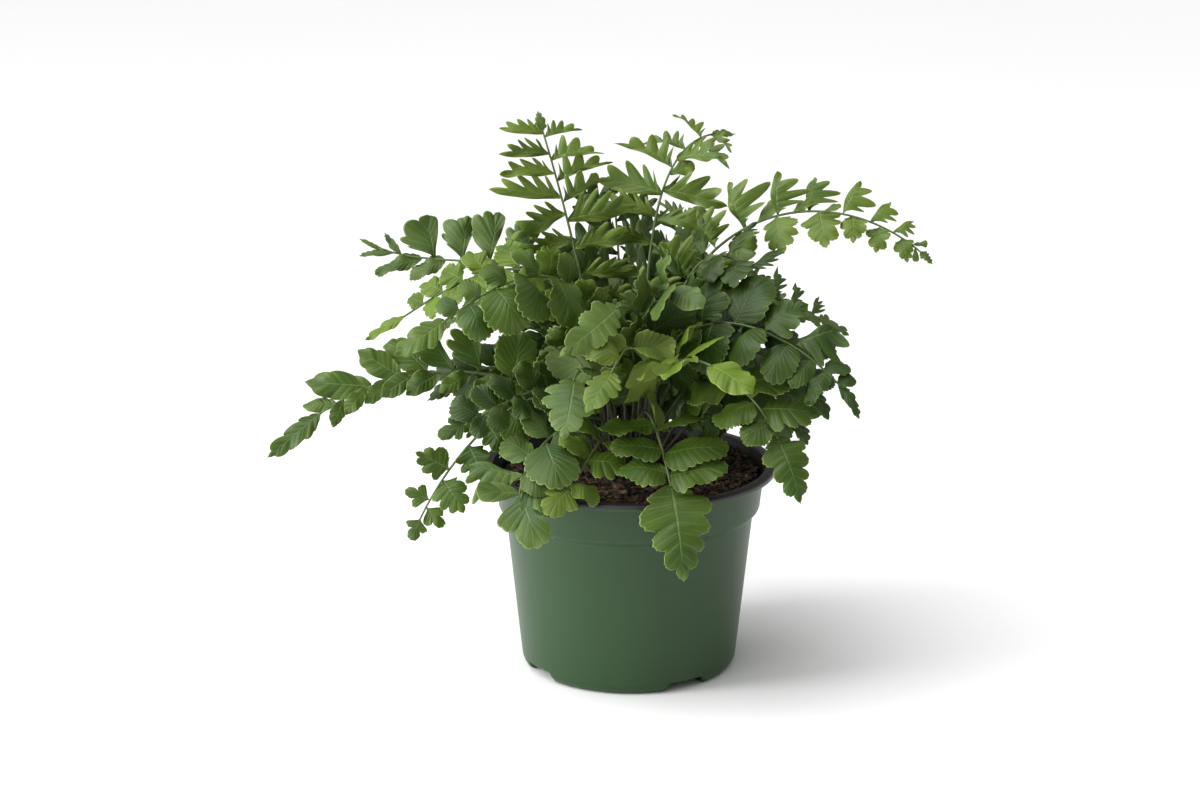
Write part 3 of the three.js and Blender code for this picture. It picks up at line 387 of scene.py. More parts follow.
pot_finish = Finish("pot_plastic")
spot = pot_finish.place()
moulding = pot_finish.noise(spot, 60, 3, 0.6)
dust = pot_finish.noise(spot, 9, 4, 0.6)
green = pot_finish.blend(dust, (0.011, 0.043, 0.009), (0.017, 0.053, 0.013))
black = pot_finish.blend(moulding, (0.016, 0.015, 0.018), (0.03, 0.028, 0.033))
height = pot_finish.node("ShaderNodeSeparateXYZ", {}, {"Vector": spot}, "Z")
clean = height.rise((CRUMBS_TOP - CRUMBS_FADE) * MM, CRUMBS_TOP * MM)
crumbs = pot_finish.noise(spot, 420, 4, 0.7).rise(0.42, 0.6) * (1 - clean)
black = pot_finish.blend(crumbs, black, (0.05, 0.033, 0.02))
pot_colour = pot_finish.blend(pot_finish.painted("inside"), green, black)
fine_grain = pot_finish.noise(spot, 900, 2, 0.6)
pot_bump = pot_finish.bump(moulding * 0.6 + fine_grain * 0.25, 0.12, 0.0004)
pot_gloss = {"Roughness": 0.34 + dust * 0.12, "Specular IOR Level": 0.4}
pot_plastic = pot_finish.surface({"Base Color": pot_colour, "Normal": pot_bump, **pot_gloss})

pot = add_piece(
    "nursery_pot", (pot_grid * MM).reshape(-1, 3), ring_faces(len(pot_grid), POT_TURNS), pot_plastic
)
black_faces = np.repeat(np.arange(len(pot_grid) - 1) >= black_from, POT_TURNS).astype(float)
pot.data.attributes.new("inside", "FLOAT", "FACE").data.foreach_set("value", black_faces)
weld_seams(pot)
for heading in CHANNEL_HEADINGS:
    drill_pot(pot, heading)
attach(pot, "root")
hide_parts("pot")

# ---------------------------------------------------------------------------------------------------------
# Potting mix: dark damp peat, pressed into the pot to just under its lip, with a lumpy top. It fills the
# pot down to its foot.

MIX_EDGE_RADIUS = 66.0
MIX_EDGE_HEIGHT = 101.0
MIX_MIDDLE_HEIGHT = 99.5
MIX_RINGS = 44
MIX_TURNS = 132
MIX_ROUGHNESS = 0.35

chance = np.random.default_rng(7)  # the mix, its chips and fibres, and the crown's scales draw from it


def mix_height(x, y):
    radius = np.hypot(x, y)
    inwards = np.clip(1 - radius / MIX_EDGE_RADIUS, 0, 1)
    dish = MIX_EDGE_HEIGHT + (MIX_MIDDLE_HEIGHT - MIX_EDGE_HEIGHT) * inwards**0.7
    lumps = 0.55 * np.sin(0.31 * x + 1.3) * np.sin(0.27 * y + 0.4)
    lumps += 0.4 * np.sin(0.73 * x + 2 * np.sin(0.31 * y))
    crumbs = 0.3 * np.sin(1.9 * x + 3 * np.sin(0.9 * y)) * np.sin(1.7 * y + 2 * np.sin(1.1 * x))
    return dish + (lumps + crumbs) * np.clip((MIX_EDGE_RADIUS - radius) / 6, 0.2, 1)


ring_radii = MIX_EDGE_RADIUS * np.linspace(0.0, 1, MIX_RINGS) ** 0.9
flat_rings = turned_grid(np.column_stack([ring_radii, 0 * ring_radii]), MIX_TURNS)
mix_x, mix_y = flat_rings[..., 0], flat_rings[..., 1]
mix_grains = chance.uniform(-MIX_ROUGHNESS, MIX_ROUGHNESS, mix_x.shape) * (ring_radii[:, None] > 1)
mix_top = np.stack([mix_x, mix_y, mix_height(mix_x, mix_y) + mix_grains], -1)
mix_side = np.array([(65.9, 93.0), (65.3, 87.3), (62.2, 81.0), (54.6, 8.0), (50.0, 8.0), (0.0, 8.0)])
mix_grid = np.concatenate([mix_top, turned_grid(mix_side, MIX_TURNS)])

mix_finish = Finish("potting_mix")
spot = mix_finish.place()
crumb = mix_finish.noise(spot, 420, 5, 0.7)
patch = mix_finish.noise(spot, 70, 3, 0.6)
peat = mix_finish.blend(crumb.rise(0.35, 0.7), (0.006, 0.0045, 0.0035), (0.035, 0.022, 0.014))
peat = mix_finish.blend(patch.rise(0.45, 0.75), peat, (0.075, 0.036, 0.016))
mix_bump = mix_finish.bump(crumb, 0.9, 0.0015)
mix_peat = mix_finish.surface({"Base Color": peat, "Roughness": 0.8 + crumb * 0.15, "Normal": mix_bump})

potting_mix = add_piece(
    "potting_mix_bed", (mix_grid * MM).reshape(-1, 3), ring_faces(len(mix_grid), MIX_TURNS), mix_peat
)
weld_seams(potting_mix)
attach(potting_mix, "root")
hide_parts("potting_mix")

# ---------------------------------------------------------------------------------------------------------
# Bark chips: split pieces of pine bark 2 to 10 mm long, mixed into the peat and lying loose on it at every
# angle. Smaller ones are heaped against the rim, from the right round to the back.

CHIP_CORNERS = np.array([(x, y, z) for x in (-1, 1) for y in (-1, 1) for z in (-1, 1)], float)
CHIP_FACES = np.array([(0, 1, 3, 2), (4, 6, 7, 5), (0, 4, 5, 1), (2, 3, 7, 6), (0, 2, 6, 4), (1, 5, 7, 3)])
CHIP_HALF_SIZES = ((1.4, 4.6), (0.9, 2.4), (0.4, 1.1))
CHIP_LEAN = 0.38
CHIPS_STREWN = 620
STREWN_RADIUS = 64.0
CHIPS_HEAPED = 420
HEAP_INNER_RADIUS = 54.0
HEAP_OUTER_RADIUS = 65.5
HEAP_HEADINGS = (-0.5, 1.5)
HEAP_HEIGHT = 4.5
HEAPED_CHIP_SCALE = 0.65


def tumbled(chance):
    """A turn at any heading, and lean a little to each side."""
    lean_x, lean_y = chance.normal(0, CHIP_LEAN), chance.normal(0, CHIP_LEAN)
    return np.array(Euler((lean_x, lean_y, chance.uniform(0, 6.28))).to_matrix())


chip_points = []
chip_faces = []
chip_tints = []
for number in range(CHIPS_STREWN + CHIPS_HEAPED):
    heaped = number >= CHIPS_STREWN
    if heaped:
        radius = chance.uniform(HEAP_INNER_RADIUS, HEAP_OUTER_RADIUS)
        heading = chance.uniform(*HEAP_HEADINGS)
    else:
        radius = STREWN_RADIUS * math.sqrt(chance.uniform(0.05, 1))
        heading = chance.uniform(0, 2 * math.pi)
    size = np.array([chance.uniform(least, greatest) for least, greatest in CHIP_HALF_SIZES])
    heap, overhang = 0.0, size[0]
    if heaped:
        outwards = (radius - HEAP_INNER_RADIUS) / (HEAP_OUTER_RADIUS - HEAP_INNER_RADIUS)
        size *= HEAPED_CHIP_SCALE
        heap, overhang = outwards * chance.uniform(0, HEAP_HEIGHT), size[0] * 0.3
    chip = CHIP_CORNERS * size * chance.uniform(0.62, 1.1, (8, 3))
    chip = chip @ tumbled(chance).T
    if radius + overhang > MIX_EDGE_RADIUS:
        continue
    chip_x, chip_y = radius * math.cos(heading), radius * math.sin(heading)
    height = mix_height(chip_x, chip_y) + size[2] * 0.35 + heap
    chip_faces += (CHIP_FACES + 8 * len(chip_points)).tolist()
    chip_points.append(chip + (chip_x, chip_y, height))
    chip_tints += [chance.uniform(0, 1)] * 8

chip_finish = Finish("bark_chip")
spot = chip_finish.place()
tint = chip_finish.painted("tint")
grain = chip_finish.noise(spot, 500, 4, 0.65)
bark = chip_finish.blend(tint.rise(0.3, 0.9), (0.018, 0.011, 0.007), (0.14, 0.068, 0.03))
bark = chip_finish.blend((tint - 0.86).rise(0, 0.1), bark, (0.27, 0.18, 0.08))
bark = chip_finish.blend(grain.rise(0.35, 0.7), bark, (0.02, 0.012, 0.009))
chip_bump = chip_finish.bump(grain, 0.8, 0.0008)
chip_bark = chip_finish.surface({"Base Color": bark, "Roughness": 0.75 + grain * 0.2, "Normal": chip_bump})

chips = add_piece("bark_chips", np.concatenate(chip_points) * MM, chip_faces, chip_bark, smooth=False)
chips.data.attributes.new("tint", "FLOAT", "POINT").data.foreach_set("value", chip_tints)
worn_edges = chips.modifiers.new("worn_edges", "BEVEL")
worn_edges.width = 0.35 * MM
worn_edges.segments = 2
worn_edges.limit_method = "NONE"
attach(chips, "root")

# ---------------------------------------------------------------------------------------------------------
# Fibres: golden threads of coir and dead root 8 to 22 mm long, mixed into the peat and lying curled over
# it.

FIBRES = 150
FIBRE_STEPS = 7
FIBRE_REACH = 62.0
FIBRE_EDGE = 65.0
FIBRE_LIFT = 0.4

fibre_points = []
fibre_faces = []
for number in range(FIBRES):
    radius = FIBRE_REACH * math.sqrt(chance.uniform(0.1, 1))
    heading = chance.uniform(0, 2 * math.pi)
    length = chance.uniform(8, 22)
    way = chance.uniform(0, 2 * math.pi) + np.linspace(-1, 1, FIBRE_STEPS) * chance.uniform(0.2, 1.3)
    run_x = radius * math.cos(heading) + np.cumsum(np.cos(way)) * length / FIBRE_STEPS
    run_y = radius * math.sin(heading) + np.cumsum(np.sin(way)) * length / FIBRE_STEPS
    if np.hypot(run_x, run_y).max() > FIBRE_EDGE:
        continue
    arch = np.sin(np.linspace(0, np.pi, FIBRE_STEPS)) * chance.uniform(0.2, 1.6)
    run_z = mix_height(run_x, run_y) + FIBRE_LIFT + arch
    thick = chance.uniform(0.12, 0.24)
    section = [(0.0, thick), (0.87 * thick, -0.5 * thick), (-0.87 * thick, -0.5 * thick)]
    base = 3 * FIBRE_STEPS * len(fibre_points)
    strand = [
        (x - side * math.sin(turn), y + side * math.cos(turn), z + up)
        for x, y, z, turn in zip(run_x, run_y, run_z, way)
        for side, up in section
    ]
    fibre_points.append(np.array(strand))
    end = base + 3 * FIBRE_STEPS
    fibre_faces += (np.array(ring_faces(FIBRE_STEPS, 3)) + base).tolist()
    fibre_faces += [(base, base + 2, base + 1), (end - 3, end - 2, end - 1)]

fibre_finish = Finish("coir_fibre")
streak = fibre_finish.noise(fibre_finish.place(), 260, 3, 0.6)
fibre_colour = fibre_finish.blend(streak.rise(0.3, 0.7), (0.16, 0.085, 0.035), (0.36, 0.24, 0.11))
fibre_gold = fibre_finish.surface({"Base Color": fibre_colour, "Roughness": 0.6 + streak * 0.2})

fibres = add_piece("coir_fibres", np.concatenate(fibre_points) * MM, fibre_faces, fibre_gold)
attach(fibres, "root")

# ---------------------------------------------------------------------------------------------------------
# Crown: the short upright stem that every frond grows from, rooted in the mix and clothed in dark brown
# papery scales.

CROWN_FOOT = 94.0
CROWN_TOP = 103.5
CROWN_TURNS = 72
CROWN_FLUTES = 7
CROWN_WAVE = 0.035
SCALES = 420
SCALE_CEILING = 107.0
SIDE_SHARE = 0.45
SIDE_LEAN = 0.35
TOP_RADIUS = 17.5
TOP_LEAN = 0.9

crown_outline = [(0.0, CROWN_FOOT), (12.0, CROWN_FOOT), (18.0, CROWN_FOOT + 0.3), (18.8, 96.5), (18.4, 99.0)]
crown_outline += [(16.8, 101.3), (14.5, 102.6), (11.0, 103.2), (6.0, 103.4), (0.0, CROWN_TOP)]
crown_grid = turned_grid(np.array(crown_outline), CROWN_TURNS)
crown_heading = np.linspace(0, 2 * np.pi, CROWN_TURNS, endpoint=False)
crown_wave = 1 + CROWN_WAVE * np.sin(CROWN_FLUTES * crown_heading + 0.6)
crown_grid[..., :2] *= crown_wave[None, :, None] * 0.97
crown_faces = ring_faces(len(crown_grid), CROWN_TURNS)
crown_points = [crown_grid.reshape(-1, 3)]
crown_count = len(crown_grid) * CROWN_TURNS


def paper_scale(foot, out, up, length, width):
    """One papery scale: a narrow pointed blade, four pairs of points and a tip, curling outwards."""
    side = np.cross(out, up)
    points = []
    for share in (0.0, 0.25, 0.5, 0.75):
        spread = width * (1 - share**2) * 0.5
        centre = foot + up * length * share + out * length * 0.35 * share**2
        points += [centre - side * spread, centre + side * spread]
    points.append(foot + up * length + out * length * 0.45)
    faces = [(0, 1, 3, 2), (2, 3, 5, 4), (4, 5, 7, 6), (6, 7, 8)]
    return np.array(points), faces


for number in range(SCALES):
    heading = chance.uniform(0, 2 * math.pi)
    level = chance.uniform(0, 1)
    if level < SIDE_SHARE:
        radius, height = 18.0 - 1.5 * level, CROWN_FOOT + 1.5 + 9 * level
        lean = SIDE_LEAN
    else:
        radius = TOP_RADIUS * math.sqrt(chance.uniform(0.02, 1))
        height = 102.2 - 1.6 * (radius / TOP_RADIUS) ** 3
        lean = TOP_LEAN
    out = np.array([math.cos(heading), math.sin(heading), 0])
    up = np.array([chance.normal(0, lean * 0.5), chance.normal(0, lean * 0.5), 1.0]) + out * 0.3
    up /= np.linalg.norm(up)
    foot = np.array([radius * out[0], radius * out[1], height])
    points, faces = paper_scale(foot, out, up, chance.uniform(2.2, 4.8), chance.uniform(0.7, 1.5))
    points[:, 2] = np.minimum(points[:, 2], SCALE_CEILING)
    crown_faces += [tuple(crown_count + v for v in face) for face in faces]
    crown_points.append(points)
    crown_count += len(points)

crown_finish = Finish("crown_scales")
streak = crown_finish.noise(crown_finish.place(), 260, 4, 0.6, (1.0, 1.0, 0.25))
crown_brown = crown_finish.blend(streak.rise(0.3, 0.75), (0.012, 0.007, 0.005), (0.075, 0.042, 0.026))
crown_bump = crown_finish.bump(streak, 0.8, 0.001)
crown_dull = 0.6 + streak * 0.3
crown_paper = crown_finish.surface({"Base Color": crown_brown, "Roughness": crown_dull, "Normal": crown_bump})

crown = add_piece("crown_clump", np.concatenate(crown_points) * MM, crown_faces, crown_paper)
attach(crown, "root")
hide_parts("crown")

# ---------------------------------------------------------------------------------------------------------
# Fronds: the fern's 40 arching leaves. Each grew in one piece out of the crown: a thin stalk, dark brown at
# its foot and green further up, that carries leathery leaflets on both sides and ends in a larger one.

# Kinds of leaflet, for a length of 1 along X, with the edge towards the frond's tip on +Y: the points of the
# lower and upper edge, the lobes on each, how deep the notches are and how full the lobes, the small teeth
# and their depth, how the veins fan out, where the midrib ends, the veins on each side, the sideways bend,
# the bend down in degrees, and the lean towards the frond's tip at the first and last leaflets of a row.
KINDS = {
    "round": {
        "lower": [(0, -0.02), (0.06, -0.05), (0.15, -0.27), (0.42, -0.4), (0.78, -0.37), (0.96, -0.17),
                  (1, 0)],
        "upper": [(0, 0.02), (0.05, 0.08), (0.13, 0.33), (0.4, 0.45), (0.76, 0.41), (0.97, 0.19), (1, 0)],
        "lobes": (0, 0), "cut": 0.0, "full": 0.6, "teeth": 10, "tooth": 0.1, "fan": 1.8, "rib": 0.66,
        "veins": 9, "sickle": 0.0, "droop": 42, "lean": (5, 30),
    },
    "oblong": {
        "lower": [(0, -0.03), (0.06, -0.12), (0.26, -0.23), (0.7, -0.22), (0.94, -0.12), (1, 0)],
        "upper": [(0, 0.03), (0.05, 0.2), (0.22, 0.3), (0.66, 0.26), (0.94, 0.14), (1, 0)],
        "lobes": (0, 0), "cut": 0.0, "full": 0.6, "teeth": 9, "tooth": 0.14, "fan": 1.5, "rib": 0.86,
        "veins": 9, "sickle": 0.06, "droop": 32, "lean": (0, 25),
    },
    "oval": {
        "lower": [(0, -0.04), (0.15, -0.14), (0.45, -0.21), (0.8, -0.15), (1, 0)],
        "upper": [(0, 0.04), (0.15, 0.15), (0.45, 0.24), (0.8, 0.18), (1, 0)],
        "lobes": (3, 3), "cut": 0.1, "full": 0.7, "teeth": 0, "tooth": 0.0, "fan": 1.4, "rib": 0.86,
        "veins": 8, "sickle": 0.04, "droop": 24, "lean": (38, 60),
    },
    "oak": {
        "lower": [(0, -0.03), (0.08, -0.1), (0.18, -0.42), (0.52, -0.4), (0.84, -0.23), (1, 0)],
        "upper": [(0, 0.03), (0.08, 0.12), (0.16, 0.46), (0.5, 0.43), (0.84, 0.25), (1, 0)],
        "lobes": (3, 4), "cut": 0.36, "full": 0.5, "teeth": 15, "tooth": 0.06, "fan": 1.5, "rib": 0.76,
        "veins": 7, "sickle": 0.0, "droop": 28, "lean": (8, 30),
    },
    "fingers": {
        "lower": [(0, -0.03), (0.3, -0.09), (0.6, -0.11), (0.86, -0.07), (1, 0)],
        "upper": [(0, 0.03), (0.12, 0.1), (0.3, 0.52), (0.6, 0.62), (0.86, 0.36), (1, 0)],
        "lobes": (0, 4), "cut": 0.6, "full": 1.15, "teeth": 0, "tooth": 0.0, "fan": 1.15, "rib": 0.84,
        "veins": 7, "sickle": -0.06, "droop": 14, "lean": (5, 20),
    },
    "cut": {
        "lower": [(0, -0.03), (0.2, -0.07), (0.5, -0.1), (0.82, -0.07), (1, 0)],
        "upper": [(0, 0.03), (0.12, 0.09), (0.26, 0.24), (0.55, 0.27), (0.84, 0.18), (1, 0)],
        "lobes": (0, 5), "cut": 0.66, "full": 1.15, "teeth": 0, "tooth": 0.0, "fan": 2.1, "rib": 0.82,
        "veins": 6, "sickle": 0.1, "droop": 30, "lean": (0, 22),
    },
    "arch": {
        "lower": [(0, -0.03), (0.25, -0.07), (0.55, -0.08), (0.85, -0.04), (1, 0)],
        "upper": [(0, 0.03), (0.13, 0.12), (0.3, 0.36), (0.58, 0.37), (0.84, 0.2), (1, 0)],
        "lobes": (0, 5), "cut": 0.74, "full": 1.1, "teeth": 0, "tooth": 0.0, "fan": 1.7, "rib": 0.9,
        "veins": 5, "sickle": 0.42, "droop": 22, "lean": (18, 12),
    },
    "fan": {
        "lower": [(0, -0.03), (0.28, -0.07), (0.6, -0.15), (0.9, -0.2), (1, -0.06)],
        "upper": [(0, 0.03), (0.14, 0.09), (0.3, 0.36), (0.6, 0.5), (0.9, 0.34), (1, -0.06)],
        "lobes": (0, 4), "cut": 0.24, "full": 0.5, "teeth": 0, "tooth": 0.0, "fan": 1.7, "rib": 0.72,
        "veins": 9, "sickle": -0.08, "droop": 16, "lean": (0, 20),
    },
    "crinkle": {
        "lower": [(0, -0.03), (0.08, -0.12), (0.22, -0.38), (0.58, -0.4), (0.9, -0.22), (1, 0)],
        "upper": [(0, 0.03), (0.08, 0.14), (0.2, 0.42), (0.56, 0.45), (0.9, 0.24), (1, 0)],
        "lobes": (3, 4), "cut": 0.26, "full": 0.4, "teeth": 11, "tooth": 0.09, "fan": 1.6, "rib": 0.8,
        "veins": 8, "sickle": 0.05, "droop": 45, "lean": (10, 35),
    },
    "tab": {
        "lower": [(0, -0.05), (0.3, -0.14), (0.65, -0.24), (0.92, -0.18), (1, 0)],
        "upper": [(0, 0.05), (0.3, 0.14), (0.65, 0.26), (0.92, 0.2), (1, 0)],
        "lobes": (1, 1), "cut": 0.1, "full": 0.6, "teeth": 0, "tooth": 0.0, "fan": 1.6, "rib": 0.7,
        "veins": 4, "sickle": 0.0, "droop": 12, "lean": (55, 65),
    },
    "plume": {
        "lower": [(0, -0.03), (0.05, -0.14), (0.2, -0.36), (0.55, -0.32), (0.86, -0.16), (1, 0)],
        "upper": [(0, 0.03), (0.06, 0.14), (0.24, 0.36), (0.58, 0.32), (0.86, 0.16), (1, 0)],
        "lobes": (4, 5), "cut": 0.4, "full": 0.5, "teeth": 19, "tooth": 0.07, "fan": 1.3, "rib": 0.9,
        "veins": 9, "sickle": 0.05, "droop": 26, "lean": (0, 0),
    },
    "trefoil": {
        "lower": [(0, -0.03), (0.12, -0.1), (0.34, -0.46), (0.66, -0.38), (0.94, -0.2), (1, 0)],
        "upper": [(0, 0.03), (0.12, 0.1), (0.36, 0.46), (0.68, 0.38), (0.94, 0.2), (1, 0)],
        "lobes": (1, 1), "cut": 0.5, "full": 0.45, "teeth": 7, "tooth": 0.06, "fan": 1.6, "rib": 0.62,
        "veins": 8, "sickle": 0.0, "droop": 20, "lean": (0, 0),
    },
    "lance": {
        "lower": [(0, -0.03), (0.1, -0.1), (0.4, -0.2), (0.8, -0.13), (1, 0)],
        "upper": [(0, 0.03), (0.1, 0.12), (0.4, 0.23), (0.8, 0.15), (1, 0)],
        "lobes": (4, 5), "cut": 0.24, "full": 0.6, "teeth": 0, "tooth": 0.0, "fan": 1.7, "rib": 0.92,
        "veins": 9, "sickle": 0.08, "droop": 30, "lean": (0, 0),
    },
}

ROW_END = 0.9
TAPER_POWER = 1.3


def even(kind, count, longest, bare, taper, shift=0.0):
    """A row of like leaflets, evenly spaced from the end of the bare stalk and shorter towards the tip."""
    first, last = KINDS[kind]["lean"]
    row = []
    for number in range(count):
        out = number / count
        share = bare + (ROW_END - bare) * (number + shift) / count
        length = longest * (1 - taper * out**TAPER_POWER)
        row.append((round(share, 3), kind, length, first + (last - first) * out))
    return row


def even_pair(kind, count, longest, bare, taper):
    """The same row on the right and on the left, where it starts half a space further on."""
    return [even(kind, count, longest, bare, taper, shift) for shift in (0.0, 0.5)]


